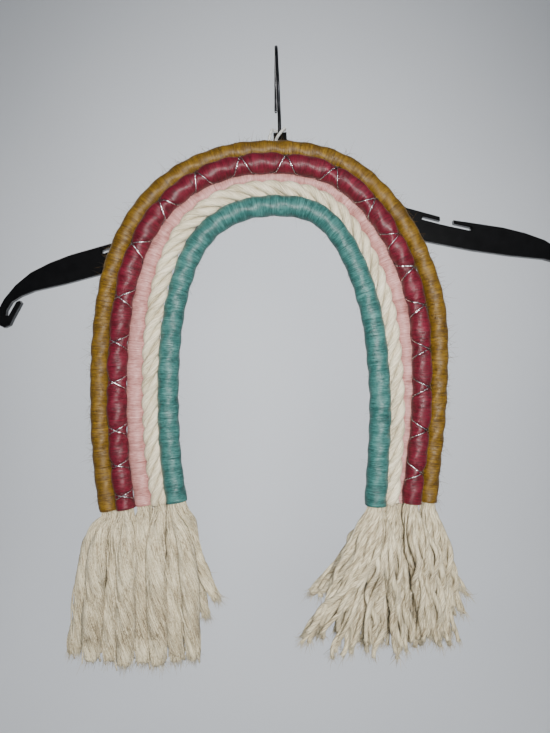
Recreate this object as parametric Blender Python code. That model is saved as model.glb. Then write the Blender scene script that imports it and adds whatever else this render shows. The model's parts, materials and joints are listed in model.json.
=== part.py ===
"""A rainbow of five ropes with fringed ends, looped onto a clothes hanger.

The ropes stand side by side as a tall arch. Each is as thick as the real one, and each lies against the
next, a little in front of it or behind it where the arch is drawn together. Below the winding every rope
end is combed out into a fringe. Metres, +Z up, +X to the right seen from the front, -Y towards the front.
The origin is the inner top of the hook, where it sits on a door.
"""

import math

import bmesh
import bpy
import numpy as np

MM = 0.001

# All heights below count from a line near the top edge of the door. The origin is this far above it, at the
# inner top of the hook (mm).
HOOK_TOP = 20.5

# The arch: the middle line of the innermost rope, seen from the front (x, z in mm)
TEAL_LINE = (
    (-71.5, -330.3), (-75.6, -300.0), (-77.6, -262.0), (-77.0, -228.0), (-74.0, -198.0), (-67.0, -168.0),
    (-53.0, -140.0), (-29.0, -122.5), (2.0, -117.5), (28.0, -122.5), (46.5, -140.0), (60.5, -168.0),
    (69.3, -199.0), (73.5, -232.0), (75.0, -262.0), (74.0, -292.0), (71.4, -333.0))
TEAL_Y = -50.0
ROPE_GAP = 0.5

# How far apart neighbouring middle lines look from the front, in mm, along the arch from left to right
SPACING = {
    "station":   (0.00, 0.12, 0.25, 0.34, 0.42, 0.50, 0.58, 0.65, 0.70, 0.78, 0.88, 1.00),
    "cream":     (12.9, 13.0, 13.5, 13.5, 13.5, 13.0, 11.6, 11.5, 12.9, 12.3, 12.6, 12.2),
    "pink":      (12.0, 11.8, 11.4, 11.8, 10.2, 9.8, 11.4, 11.9, 11.0, 11.2, 9.6, 7.6),
    "raspberry": (12.8, 12.9, 12.5, 11.4, 8.6, 7.6, 7.4, 8.4, 11.6, 9.0, 7.8, 7.0),
    "mustard":   (13.4, 13.4, 13.4, 13.2, 12.2, 11.8, 12.4, 13.4, 13.4, 13.4, 12.2, 13.0)}
SPACING_BLEND = 0.05

# Each rope, inner to outer: radius at the left end, the top and the right end, which side of its inner
# neighbour it slips to (+1 behind, -1 in front), and what the winding leaves off its right end (mm)
ROPES = {
    "teal":      {"radius": (7.4, 7.3, 7.7), "side": 0, "trim": 0.0},
    "cream":     {"radius": (5.6, 5.7, 5.7), "side": 1, "trim": 0.5},
    "pink":      {"radius": (6.3, 5.7, 5.7), "side": 1, "trim": 0.5},
    "raspberry": {"radius": (6.8, 6.8, 6.6), "side": -1, "trim": 2.5},
    "mustard":   {"radius": (6.7, 6.2, 6.2), "side": 1, "trim": 3.5}}

WRAP_SIDES = 10
WRAP_STEP = 9.5
WRAP_SWELL = 0.22
WRAP_SWELL_PITCH = 21.0
PINCHES = (10.0, 32.0, 57.0, 92.0, 121.0, 153.0, 191.0, 226.0, 257.0, 289.0, 321.0, 357.0, 391.0, 420.0,
           445.0, 473.0, 504.0, 531.0, 562.0, 593.0)
PINCH_DEPTH = 1.0
PINCH_WIDTH = 5.5
PINCH_STEP = 5.2
STRANDS = 3
STRAND_POINTS = 4
STRAND_LAYS = (35.0, 44.0)
STRAND_GROOVE = 0.17
STRAND_STEP = 4.0

# The fringes. Each lock: tip x, tip z, how far its middle lies behind the rope's, and its thickness (mm)
FRINGE_LEFT = {
    "mustard":   ((-144.0, -441.5, -5.0, 12.8), (-131.0, -443.5, -7.0, 12.8), (-135.0, -441.0, 8.0, 12.0)),
    "raspberry": ((-118.0, -444.0, -6.0, 12.8), (-106.5, -445.0, -7.0, 12.8), (-123.0, -441.0, 8.0, 12.0)),
    "pink":      ((-95.0, -446.5, -7.0, 12.8), (-99.0, -442.0, 8.0, 12.0), (-111.0, -442.0, 8.0, 12.0)),
    "cream":     ((-83.5, -446.0, -7.0, 12.8), (-75.0, -442.0, 8.0, 12.0), (-87.0, -441.0, 8.0, 12.0)),
    "teal":      ((-71.0, -443.5, -6.0, 12.0), (-60.0, -441.0, -3.0, 12.0), (-64.0, -438.0, 8.0, 10.0),
                  (-40.0, -404.0, 3.0, 7.5), (-50.5, -421.0, 9.0, 7.0))}
FRINGE_RIGHT = {
    "teal":      ((19.5, -425.0, -7.0, 7.4), (24.0, -398.0, 6.0, 7.0), (30.5, -431.0, -4.0, 8.0),
                  (41.5, -437.0, -9.0, 8.0), (53.0, -438.5, -6.0, 8.0), (87.0, -438.5, -12.0, 9.4)),
    "cream":     ((36.0, -431.0, 4.0, 7.6), (47.5, -436.5, 3.0, 7.6), (62.5, -438.5, -4.0, 8.0),
                  (72.0, -433.0, -9.0, 7.6), (69.0, -429.0, 6.0, 7.6)),
    "pink":      ((57.5, -434.0, 8.0, 7.6), (80.0, -438.5, -4.0, 8.0), (78.5, -435.0, 6.0, 7.6),
                  (97.5, -438.5, -9.0, 8.0), (90.0, -434.0, 7.0, 7.6)),
    "raspberry": ((101.5, -434.5, 5.0, 8.0), (107.5, -435.5, -6.0, 8.0), (99.0, -432.0, 13.0, 7.6),
                  (118.0, -432.5, -10.0, 8.0), (112.0, -431.0, 8.0, 7.6)),
    "mustard":   ((116.5, -431.5, 2.0, 7.6), (125.5, -432.0, -6.0, 9.0), (125.0, -429.0, 6.0, 7.6),
                  (135.5, -403.0, 2.0, 7.0), (130.5, -413.0, -5.0, 7.0), (127.0, -422.0, 11.0, 7.0))}
ROOT_HEIGHT = 5.0
ROOT_INSET = 0.72
LOCK_LEVELS = (0.0, 0.09, 0.2, 0.33, 0.46, 0.6, 0.74, 0.88, 1.0)
LOCK_FATNESS = (0.0, 0.7, 0.95, 1.0, 1.0, 1.0, 1.0, 1.0, 0.82)
LOCK_SPREAD = {"left": 0.75, "right": 0.95}
KICK_ABOVE = -428.0
KICK_SPREAD = 1.5
LOCK_TURN = 22.0
LOCK_GAP = 0.8
LEVEL_SLACK = 7.0
NO_LOCK = -1000.0
PUSH_ROUNDS = 120
PUSH_SHARE = 0.35
FALL_STEPS = 5
AIM_PULL = 0.12
DOOR_SIDE = -25.0

# The hanger: half its outline in its own plane, from the neck outward and back (x, z in mm)
NECK = (3.2, -27.5, -60.0)
HANGER_TILT = 3.6
HANGER_THICK = 6.0
HANGER_EDGE = 0.9
HANGER_TOP = (
    (5.0, 4.0), (5.0, -1.5), (8.6, -3.5), (12.5, -8.5), (20.0, -11.2), (30.0, -11.6), (39.0, -11.8),
    (43.9, -14.4), (46.8, -17.6), (52.0, -23.5), (70.0, -40.5), (92.0, -58.8), (116.9, -67.3),
    (116.9, -70.4), (104.0, -66.2), (103.2, -68.4), (117.4, -73.1), (126.6, -75.8), (139.5, -79.3),
    (140.2, -77.0), (127.1, -73.2), (127.1, -70.5), (140.0, -73.2), (164.0, -78.4), (180.0, -83.4),
    (194.9, -89.8), (207.0, -98.6), (216.3, -108.6), (221.6, -117.2), (222.8, -122.8), (221.4, -128.2),
    (217.6, -130.6), (213.4, -129.0), (211.0, -124.6))
HANGER_FINGER = (
    (203.6, -112.6), (204.9, -110.6), (207.2, -111.4), (213.8, -121.6), (216.0, -121.2), (215.2, -117.4),
    (211.0, -111.4))
HANGER_UNDER = (
    (204.0, -107.6), (193.7, -104.2), (169.4, -100.2), (140.0, -94.2), (101.0, -84.0), (70.0, -65.0),
    (45.0, -47.0), (22.0, -37.5))
HANGER_MIDDLE = (0.0, -35.0)

# The hook: bent wire in the plane square to the door (x, y, z in mm)
HOOK_RADIUS = 1.4
HOOK_LINE = (
    (2.7, -27.5, -55.7), (2.5, -29.2, -46.0), (2.0, -29.8, -34.0), (1.5, -29.0, -21.0), (0.9, -27.0, -8.5),
    (0.4, -23.4, 4.5), (0.1, -14.4, 17.1), (0.0, 0.0, 21.9), (0.0, 14.4, 17.1), (0.0, 22.6, 6.0),
    (0.0, 24.4, -6.0), (0.0, 23.2, -17.0))
HOOK_STEPS = 36

# The hanging loop: thin string behind the outer rope and round the foot of the hook (x, y, z in mm)
LOOP_RADIUS = 1.1
LOOP_LINE = (
    (2.6, -24.8, -53.6), (-2.2, -27.8, -53.6), (-3.6, -32.6, -57.0), (-4.8, -34.2, -61.5),
    (-5.6, -35.4, -68.0), (-5.2, -36.2, -75.0), (-2.4, -36.5, -79.5), (0.4, -36.2, -75.0),
    (-0.2, -35.4, -68.0), (0.8, -34.3, -62.0), (2.6, -33.6, -59.0), (4.8, -32.9, -56.0),
    (6.6, -30.4, -53.4), (6.0, -26.6, -53.0))
LOOP_STEPS = 44

COLOURS = {
    "mustard": (0.42, 0.24, 0.045), "raspberry": (0.42, 0.05, 0.10), "pink": (0.72, 0.44, 0.43),
    "cream": (0.62, 0.57, 0.44), "teal": (0.17, 0.42, 0.41), "plastic": (0.012, 0.012, 0.014),
    "steel": (0.25, 0.25, 0.26), "string": (0.55, 0.55, 0.53)}


def clear_scene():
    for ob in list(bpy.data.objects):
        bpy.data.objects.remove(ob, do_unlink=True)


def material(name, colour, roughness=0.9, metallic=0.0):
    mat = bpy.data.materials.get(name)
    if mat is None:
        mat = bpy.data.materials.new(name)
        mat.use_nodes = True
        shader = mat.node_tree.nodes["Principled BSDF"]
        shader.inputs["Base Color"].default_value = (*colour, 1.0)
        shader.inputs["Roughness"].default_value = roughness
        shader.inputs["Metallic"].default_value = metallic
    return mat


def add_body(name, points, faces, mat):
    """Makes one closed object from points in mm and its faces, with the faces turned outward."""
    mesh = bpy.data.meshes.new(name)
    mesh.from_pydata([tuple(p) for p in (np.asarray(points) - (0.0, 0.0, HOOK_TOP)) * MM], [], faces)
    bm = bmesh.new()
    bm.from_mesh(mesh)
    bmesh.ops.triangulate(bm, faces=bm.faces[:], quad_method="SHORT_EDGE", ngon_method="EAR_CLIP")
    bmesh.ops.recalc_face_normals(bm, faces=bm.faces[:])
    bm.to_mesh(mesh)
    bm.free()
    mesh.materials.append(mat)
    mesh.shade_smooth()
    mesh.set_sharp_from_angle(angle=math.radians(50))
    ob = bpy.data.objects.new(name, mesh)
    bpy.context.scene.collection.objects.link(ob)
    return ob


def smooth_curve(knots, count, closed=False):
    """A natural cubic spline through the knots, with its chord length as parameter, read at even steps."""
    knots = np.asarray(knots, float)
    first = 0
    if closed:
        wrap = 3
        first = wrap
        knots = np.vstack([knots[-wrap:], knots, knots[:wrap + 1]])
    chord = np.concatenate([[0.0], np.cumsum(np.linalg.norm(np.diff(knots, axis=0), axis=1))])
    gaps = np.diff(chord)
    size = len(knots)
    system = np.zeros((size, size))
    right = np.zeros_like(knots)
    system[0, 0] = 1.0
    system[-1, -1] = 1.0
    slope = np.diff(knots, axis=0) / gaps[:, None]
    for i in range(1, size - 1):
        system[i, i - 1:i + 2] = (gaps[i - 1], 2.0 * (gaps[i - 1] + gaps[i]), gaps[i])
        right[i] = 6.0 * (slope[i] - slope[i - 1])
    bend = np.linalg.solve(system, right)
    last = size - 1 - (first + 1 if closed else 0)
    at = np.linspace(chord[first], chord[last], count, endpoint=not closed)
    i = np.clip(np.searchsorted(chord, at, side="right") - 1, 0, size - 2)
    h = gaps[i][:, None]
    a = (chord[i + 1] - at)[:, None]
    b = (at - chord[i])[:, None]
    return (bend[i] * a ** 3 + bend[i + 1] * b ** 3) / (6.0 * h) \
        + (knots[i] / h - bend[i] * h / 6.0) * a + (knots[i + 1] / h - bend[i + 1] * h / 6.0) * b


def blend_column(stations, values, at):
    """Reads a table's column along the arch, with its corners rounded off."""
    reach = np.linspace(-SPACING_BLEND, SPACING_BLEND, 9)
    return np.mean([np.interp(at + r, stations, values) for r in reach], axis=0)


def arch_lines(count=1201):
    """The middle line and the radius of every rope, all read at the same stations along the arch."""
    flat = smooth_curve(TEAL_LINE, count)
    along = np.gradient(flat, axis=0)
    along /= np.linalg.norm(along, axis=1)[:, None]
    out = np.stack([-along[:, 1], along[:, 0]], axis=1)
    run = np.concatenate([[0.0], np.cumsum(np.linalg.norm(np.diff(flat, axis=0), axis=1))])
    at = run / run[-1]
    lines = {}
    offset = np.zeros(count)
    depth = np.full(count, TEAL_Y)
    inner_radius = None
    for name, rope in ROPES.items():
        radius = np.interp(at, (0.0, 0.5, 1.0), rope["radius"])
        if inner_radius is not None:
            apart = inner_radius + radius + ROPE_GAP
            seen = np.minimum(blend_column(SPACING["station"], SPACING[name], at), apart)
            offset = offset + seen
            depth = depth + rope["side"] * np.sqrt(apart ** 2 - seen ** 2)
        middle = np.stack([flat[:, 0] + out[:, 0] * offset, depth, flat[:, 1] + out[:, 1] * offset], axis=1)
        lines[name] = {"middle": middle, "radius": radius, "out": out}
        inner_radius = radius
    return lines


def walk_rope(line, step, trim):
    """Reads a rope's line at even lengths: middle points, radii, and the outward, front and forward axes."""
    middle = line["middle"]
    run = np.concatenate([[0.0], np.cumsum(np.linalg.norm(np.diff(middle, axis=0), axis=1))])
    length = run[-1] - trim
    at = np.linspace(0.0, length, 1 + round(length / step))
    points = np.stack([np.interp(at, run, middle[:, k]) for k in range(3)], axis=1)
    tangent = np.gradient(middle, axis=0)
    tangent = np.stack([np.interp(at, run, tangent[:, k]) for k in range(3)], axis=1)
    tangent /= np.linalg.norm(tangent, axis=1)[:, None]
    out = np.stack([np.interp(at, run, line["out"][:, 0]), np.zeros(len(at)),
                    np.interp(at, run, line["out"][:, 1])], axis=1)
    out -= tangent * np.sum(out * tangent, axis=1)[:, None]
    out /= np.linalg.norm(out, axis=1)[:, None]
    front = np.cross(tangent, out)
    return {"at": at, "points": points, "radius": np.interp(at, run, line["radius"]),
            "out": out, "front": front, "tangent": tangent, "length": length}


def skin(rings, closed=False):
    """Faces that join rings of points into a tube, with its two ends filled unless it closes on itself."""
    count, sides = rings.shape[:2]
    faces = []
    for k in range(count if closed else count - 1):
        here = k * sides
        there = ((k + 1) % count) * sides
        for j in range(sides):
            nxt = (j + 1) % sides
            faces.append((here + j, here + nxt, there + nxt, there + j))
    if not closed:
        faces.append(tuple(range(sides))[::-1])
        faces.append(tuple(range((count - 1) * sides, count * sides)))
    return faces


def rope_body(name, walk, sides, radius_at, mat):
    """A tube round the rope's line, whose radius is a function of length and of the side's number."""
    turn, size = radius_at(walk["at"], walk["radius"], sides)
    rings = walk["points"][:, None] + size[..., None] * (
        np.cos(turn)[..., None] * walk["out"][:, None] + np.sin(turn)[..., None] * walk["front"][:, None])
    return add_body(name, rings.reshape(-1, 3), skin(rings), mat)


def wound(at, radius, sides):
    """Winding over a twisted rope: round, and swelling a little where a strand lies beneath."""
    turn = np.broadcast_to(2.0 * math.pi * np.arange(sides) / sides, (len(at), sides))
    swell = WRAP_SWELL * (np.cos(2.0 * math.pi * at / WRAP_SWELL_PITCH) - 1.0) / 2.0
    return turn, np.broadcast_to((radius + swell)[:, None], turn.shape)


def pinched(at, radius, sides):
    """The raspberry winding: drawn in wherever the silver thread crosses, bulging between."""
    turn = np.broadcast_to(2.0 * math.pi * np.arange(sides) / sides, (len(at), sides))
    from_cross = np.min(np.abs(at[:, None] - PINCHES), axis=1)
    dip = PINCH_DEPTH * np.exp(-(from_cross / PINCH_WIDTH) ** 2)
    return turn, np.broadcast_to((radius - dip)[:, None], turn.shape)


def twisted(at, radius, sides):
    """Three strands laid to the right: the points turn with the lay, so a groove keeps its own points.

    The lay, the length of one turn, grows evenly from the left end to the right.
    """
    corner = 2.0 * math.pi * np.arange(sides) / sides
    tight, loose = STRAND_LAYS
    lay = tight + (loose - tight) * at / at[-1]
    turns = at[-1] / (loose - tight) * np.log(lay / tight)
    turn = corner[None] + 2.0 * math.pi * turns[:, None]
    lobe = 1.0 - STRAND_GROOVE * (1.0 - np.abs(np.cos(1.5 * corner)))
    return turn, radius[:, None] * lobe[None]


def make_ropes(lines):
    """The five ropes, and where each of them ends on either side."""
    ends = {}
    for name, rope in ROPES.items():
        mat = material(name, COLOURS[name])
        if name == "cream":
            walk = walk_rope(lines[name], STRAND_STEP, rope["trim"])
            rope_body("rope_" + name, walk, STRANDS * STRAND_POINTS, twisted, mat)
        elif name == "raspberry":
            walk = walk_rope(lines[name], PINCH_STEP, rope["trim"])
            rope_body("rope_" + name, walk, WRAP_SIDES, pinched, mat)
        else:
            walk = walk_rope(lines[name], WRAP_STEP, rope["trim"])
            rope_body("rope_" + name, walk, WRAP_SIDES, wound, mat)
        ends[name] = {"left": (walk["points"][0], -walk["tangent"][0], walk["radius"][0]),
                      "right": (walk["points"][-1], walk["tangent"][-1], walk["radius"][-1])}
    return ends


def root_plug(middle, down, radius, locks):
    """The rope's end below the winding: its rims, its lower middle, and a shrunk kite for each lock."""
    across = np.cross((0.0, 1.0, 0.0), down)
    across /= np.linalg.norm(across)
    back = np.cross(across, down)
    corners = 2 * locks
    turn = 2.0 * math.pi * np.arange(corners) / corners
    rim = np.cos(turn)[:, None] * across + np.sin(turn)[:, None] * back
    if np.dot(np.cross(across, back), down) > 0.0:
        rim = rim[::-1]
    top = middle + down * ROPE_GAP
    low = top + down * ROOT_HEIGHT
    upper = top + rim * radius
    lower = low + rim * radius
    kites = []
    for i in range(locks):
        kite = np.array([low, lower[(2 * i - 1) % corners], lower[2 * i], lower[(2 * i + 1) % corners]])
        kites.append(kite.mean(axis=0) + (kite - kite.mean(axis=0)) * ROOT_INSET)
    return upper, lower, low, kites


def push_apart(spots, thick):
    """Moves round locks off each other at one height, and off the door."""
    need = (thick[:, None] + thick[None]) / 2.0 + LOCK_GAP
    itself = np.arange(len(spots))
    for _ in range(PUSH_ROUNDS):
        apart = spots[:, None] - spots[None]
        distance = np.linalg.norm(apart, axis=2)
        push = np.clip(need - distance, 0.0, None) / np.maximum(distance, 1e-6)
        push[itself, itself] = 0.0
        spots = spots + PUSH_SHARE * np.sum(apart * push[..., None], axis=1)
        spots[:, 1] = np.minimum(spots[:, 1], DOOR_SIDE - thick / 2.0)
    return spots


def settle_locks(paths, thick):
    """Lets the locks fall side by side: each height starts from the one above it, drawn towards its aim."""
    settled = paths.copy()
    spots = paths[:, 0, :2]
    for level in range(1, paths.shape[1]):
        aim = paths[:, level, :2]
        drift = (aim - paths[:, level - 1, :2]) / FALL_STEPS
        for step in range(1, FALL_STEPS + 1):
            part_way = step / FALL_STEPS
            width = thick[:, level - 1] * (1.0 - part_way) + thick[:, level] * part_way
            width = np.where(thick[:, level] < 0.0, NO_LOCK, width)
            spots = push_apart(spots + drift + AIM_PULL * (aim - spots), width)
        settled[:, level, :2] = spots
    return settled


def pair_locks(kites, locks):
    """Gives each kite of a root the lock that hangs on its own side, so that the locks don't cross."""
    spots = np.array([kite.mean(axis=0)[:2] for kite in kites])
    spots = spots - spots.mean(axis=0)
    wishes = np.array([(lock[0], lock[2]) for lock in locks])
    wishes = (wishes - wishes.mean(axis=0)) / np.maximum(wishes.std(axis=0), 1e-6)
    by_turn = np.argsort(np.arctan2(spots[:, 1], spots[:, 0]), kind="stable")
    wish_turn = np.argsort(np.arctan2(wishes[:, 1], wishes[:, 0]), kind="stable")
    fits = [np.sum(spots[by_turn] * wishes[np.roll(wish_turn, shift)]) for shift in range(len(locks))]
    wish_turn = np.roll(wish_turn, int(np.argmax(fits)))
    return {int(k): locks[int(w)] for k, w in zip(by_turn, wish_turn)}


def make_fringe(side, table, ends):
    """All the fringes of one side: locks that hang from the rope ends and lie beside each other.

    Every lock is read at the same heights, so that the locks can be kept apart there, and a short lock
    ends at the height nearest to its tip. Short locks hang straight and kick out near their tips.
    """
    roots = {}
    for name, locks in table.items():
        middle, down, radius = ends[name][side]
        roots[name] = root_plug(middle, down, radius - ROPE_GAP, len(locks))
    top = np.mean([low[2] for _, _, low, _ in roots.values()])
    bottom = min(lock[1] for locks in table.values() for lock in locks)
    heights = top + (bottom - top) * np.array(LOCK_LEVELS)
    number = np.arange(len(heights))
    paths = []
    thick = []
    last = []
    for name, locks in table.items():
        target = pair_locks(roots[name][3], locks)
        for k, kite in enumerate(roots[name][3]):
            tip_x, tip_z, behind, width = target[k]
            root = kite.mean(axis=0)
            root_width = 2.0 * np.min(np.linalg.norm(kite - root, axis=1))
            end = int(np.argmax(heights <= tip_z + LEVEL_SLACK))
            z = np.where(number < end, heights, tip_z)
            z[0] = root[2]
            fallen = (root[2] - z) / (root[2] - tip_z)
            spread = fallen ** (KICK_SPREAD if tip_z > KICK_ABOVE else LOCK_SPREAD[side])
            inward = np.sin(np.clip(fallen / 0.35, 0.0, 1.0) * math.pi / 2.0)
            fatness = np.interp(fallen, LOCK_LEVELS, LOCK_FATNESS)
            paths.append(np.stack([root[0] + (tip_x - root[0]) * spread, root[1] + behind * inward, z],
                                  axis=1))
            thick.append(np.where(number <= end, root_width + (width - root_width) * fatness, NO_LOCK))
            last.append(end)
    paths = settle_locks(np.array(paths), np.array(thick))
    lock = 0
    mat = material("fringe", COLOURS["cream"])
    for name, locks in table.items():
        upper, lower, low, kites = roots[name]
        corners = len(upper)
        points = list(upper) + list(lower) + [low]
        faces = [tuple(range(corners))]
        for j in range(corners):
            nxt = (j + 1) % corners
            faces.append((j, nxt, corners + nxt, corners + j))
        for k, kite in enumerate(kites):
            rim = (2 * corners, corners + (2 * k - 1) % corners, corners + 2 * k,
                   corners + (2 * k + 1) % corners)
            here = len(points)
            points += list(kite)
            for j in range(4):
                nxt = (j + 1) % 4
                faces.append((rim[j], rim[nxt], here + nxt, here + j))
            arm = kite[0] - kite.mean(axis=0)
            start = math.atan2(arm[1], arm[0])
            spin = np.sign((kite[1] - kite[0])[0] * (kite[2] - kite[1])[1]
                           - (kite[1] - kite[0])[1] * (kite[2] - kite[1])[0])
            for level in range(1, last[lock] + 1):
                angle = start + math.radians(LOCK_TURN) * level + spin * math.pi / 2.0 * np.arange(4)
                ring = paths[lock, level] + thick[lock][level] / 2.0 * np.stack(
                    [np.cos(angle), np.sin(angle), np.zeros(4)], axis=1)
                there = len(points)
                points += list(ring)
                for j in range(4):
                    nxt = (j + 1) % 4
                    faces.append((here + j, here + nxt, there + nxt, there + j))
                here = there
            faces.append((here, here + 1, here + 2, here + 3))
            lock += 1
        add_body("fringe_" + side + "_" + name, points, faces, mat)


def tube(name, line, radius, sides, mat, closed=False):
    """A round tube along a line of points, carried without twisting."""
    tangent = np.gradient(line, axis=0)
    if closed:
        tangent = np.roll(line, -1, axis=0) - np.roll(line, 1, axis=0)
    tangent /= np.linalg.norm(tangent, axis=1)[:, None]
    side = np.cross(tangent[0], (0.3, 0.2, 0.9))
    side /= np.linalg.norm(side)
    sides_at = []
    for direction in tangent:
        side = side - direction * np.dot(side, direction)
        side /= np.linalg.norm(side)
        sides_at.append(side)
    side = np.array(sides_at)
    up = np.cross(tangent, side)
    turn = 2.0 * math.pi * np.arange(sides) / sides
    rings = line[:, None] + radius * (np.cos(turn)[None, :, None] * side[:, None]
                                      + np.sin(turn)[None, :, None] * up[:, None])
    return add_body(name, rings.reshape(-1, 3), skin(rings, closed), mat)


def inset_outline(outline, width):
    """Moves every side of a closed outline inward by the width and joins them again at the corners."""
    before = outline - np.roll(outline, 1, axis=0)
    after = np.roll(outline, -1, axis=0) - outline
    before /= np.linalg.norm(before, axis=1)[:, None]
    after /= np.linalg.norm(after, axis=1)[:, None]
    normal_a = np.stack([-before[:, 1], before[:, 0]], axis=1)
    normal_b = np.stack([-after[:, 1], after[:, 0]], axis=1)
    corner = normal_a + normal_b
    corner /= np.maximum(1.0 + np.sum(normal_a * normal_b, axis=1), 0.5)[:, None]
    x, z = outline[:, 0], outline[:, 1]
    area = np.sum(x * np.roll(z, -1) - np.roll(x, -1) * z)
    return outline + corner * width * np.sign(area)


def make_hanger():
    """The moulded body: one mirrored outline, thick all over, with its edges eased front and back."""
    half = HANGER_TOP + HANGER_FINGER + HANGER_UNDER
    mirrored = tuple((-x, z) for x, z in reversed(half))
    outline = np.array(half + (HANGER_MIDDLE,) + mirrored)
    eased = inset_outline(outline, HANGER_EDGE * 0.6)
    tilt = math.radians(HANGER_TILT)
    turn = np.array([[math.cos(tilt), math.sin(tilt)], [-math.sin(tilt), math.cos(tilt)]])
    half_thick = HANGER_THICK / 2.0
    rings = []
    for shape, y in ((eased, -half_thick), (outline, HANGER_EDGE - half_thick),
                     (outline, half_thick - HANGER_EDGE), (eased, half_thick)):
        flat = shape @ turn
        rings.append(np.stack([flat[:, 0], np.full(len(flat), y), flat[:, 1]], axis=1) + NECK)
    rings = np.array(rings)
    add_body("hanger_body", rings.reshape(-1, 3), skin(rings),
             material("plastic", COLOURS["plastic"], roughness=0.25))


def make_hook():
    line = smooth_curve(HOOK_LINE, HOOK_STEPS)
    tube("hanger_hook", line, HOOK_RADIUS, 8, material("steel", COLOURS["steel"], 0.3, 1.0))


def make_loop():
    line = smooth_curve(LOOP_LINE, LOOP_STEPS, closed=True)
    tube("hanging_loop", line, LOOP_RADIUS, 6, material("string", COLOURS["string"]), closed=True)


clear_scene()
rope_ends = make_ropes(arch_lines())
make_fringe("left", FRINGE_LEFT, rope_ends)
make_fringe("right", FRINGE_RIGHT, rope_ends)
make_hanger()
make_hook()
make_loop()
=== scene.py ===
# %% [markdown]
# # A rope rainbow on a clothes hanger
#
# Five cotton ropes bend into a tall arch. Four of them are wound with coloured yarn, one is left bare, and
# all ten ends are combed out into fringes. A string loop holds the arch on the hook of a clothes hanger.
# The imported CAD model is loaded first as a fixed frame, and every piece is made at the place it gives. All
# heights below count from a line 20.5 mm under the origin, which is the inner top of the hook.

import json
import math

import bpy
import numpy as np
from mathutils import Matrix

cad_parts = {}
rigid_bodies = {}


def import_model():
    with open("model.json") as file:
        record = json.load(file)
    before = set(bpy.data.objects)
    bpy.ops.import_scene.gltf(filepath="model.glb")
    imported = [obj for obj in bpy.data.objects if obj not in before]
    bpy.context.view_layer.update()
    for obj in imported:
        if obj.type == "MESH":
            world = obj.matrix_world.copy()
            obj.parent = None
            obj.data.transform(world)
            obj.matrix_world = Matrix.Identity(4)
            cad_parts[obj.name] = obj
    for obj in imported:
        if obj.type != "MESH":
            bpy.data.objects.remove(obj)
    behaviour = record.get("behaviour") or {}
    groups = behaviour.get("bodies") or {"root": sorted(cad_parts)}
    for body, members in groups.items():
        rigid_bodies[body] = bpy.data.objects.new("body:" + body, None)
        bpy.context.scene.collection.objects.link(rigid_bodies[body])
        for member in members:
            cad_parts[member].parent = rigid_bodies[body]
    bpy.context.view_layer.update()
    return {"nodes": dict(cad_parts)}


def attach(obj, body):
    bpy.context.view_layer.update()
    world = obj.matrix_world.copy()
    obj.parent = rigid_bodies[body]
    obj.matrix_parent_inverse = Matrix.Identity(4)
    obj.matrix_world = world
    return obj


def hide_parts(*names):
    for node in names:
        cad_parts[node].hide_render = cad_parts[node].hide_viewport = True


MM = 0.001
HOOK_TOP = 20.5

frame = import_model()

# %% [markdown]
# ## Camera, backdrop and light
#
# The photograph was taken square on, from a little under half a metre, so the camera stands there and looks
# straight along +Y. A long lens would flatten the ropes' overlap, so the lens is an ordinary short one: 550
# pixels from the eye to the picture plane on a long side of 733. The backdrop is one pale sheet that lies as
# a floor and rises in a curve far behind. A small lamp beside the camera gives the sheen along each rope, two
# larger ones fill in from the side and from behind, and three wide ones face the sheet.

# %% Camera at the photograph's place
def in_frame(point):
    """A point or many in mm, counted from the heights' zero line, in the frame's metres."""
    return (np.asarray(point, float) - (0.0, 0.0, HOOK_TOP)) * MM


PICTURE_LONG_SIDE = 733
EYE_PIXELS = 550
SENSOR = 36.0
EYE = (-0.75, -446.0, -233.2)

camera_data = bpy.data.cameras.new("camera")
camera_data.sensor_width = SENSOR
camera_data.lens = SENSOR * EYE_PIXELS / PICTURE_LONG_SIDE
camera_data.clip_start = 0.02
camera = bpy.data.objects.new("camera", camera_data)
camera.location = in_frame(EYE)
camera.rotation_euler = (math.radians(90.0), 0.0, 0.0)
bpy.context.scene.collection.objects.link(camera)
bpy.context.scene.camera = camera
print("camera at", EYE, "mm, lens", round(camera_data.lens, 2), "mm")


# %% Meshes from arrays
def put_mesh(name, points, quads, tris=None, straight=None):
    """Stores whole arrays as one mesh object: points in mm, faces as rows of point numbers.

    straight is each point's place if its rope or yarn were pulled straight: across it in x and y, along it
    in z. The finishes read it, so their patterns follow the yarn.
    """
    quads = np.asarray(quads, np.int32).reshape(-1, 4)
    tris = np.zeros((0, 3), np.int32) if tris is None else np.asarray(tris, np.int32).reshape(-1, 3)
    mesh = bpy.data.meshes.new(name)
    mesh.vertices.add(len(points))
    mesh.vertices.foreach_set("co", in_frame(points).astype(np.float32).ravel())
    corners = np.concatenate([quads.ravel(), tris.ravel()])
    mesh.loops.add(len(corners))
    mesh.loops.foreach_set("vertex_index", corners)
    starts = np.concatenate([4 * np.arange(len(quads)), 4 * len(quads) + 3 * np.arange(len(tris))])
    mesh.polygons.add(len(starts))
    mesh.polygons.foreach_set("loop_start", starts.astype(np.int32))
    mesh.update(calc_edges=True)
    mesh.validate()
    mesh.shade_smooth()
    if straight is not None:
        kept = mesh.attributes.new("straight", "FLOAT_VECTOR", "POINT")
        kept.data.foreach_set("vector", np.asarray(straight, np.float32).ravel())
    made = bpy.data.objects.new(name, mesh)
    bpy.context.scene.collection.objects.link(made)
    return made


def triangles(piece):
    """How many triangles a mesh has: each face gives two less than its corners."""
    return len(piece.data.loops) - 2 * len(piece.data.polygons)


# %% Backdrop
FLOOR_Z = -1300.0
SWEEP_FRONT = -20000.0
SWEEP_BEND = 900.0
SWEEP_BACK = 1900.0
SWEEP_TOP = 9000.0
SWEEP_HALF_WIDTH = 20000.0

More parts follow.
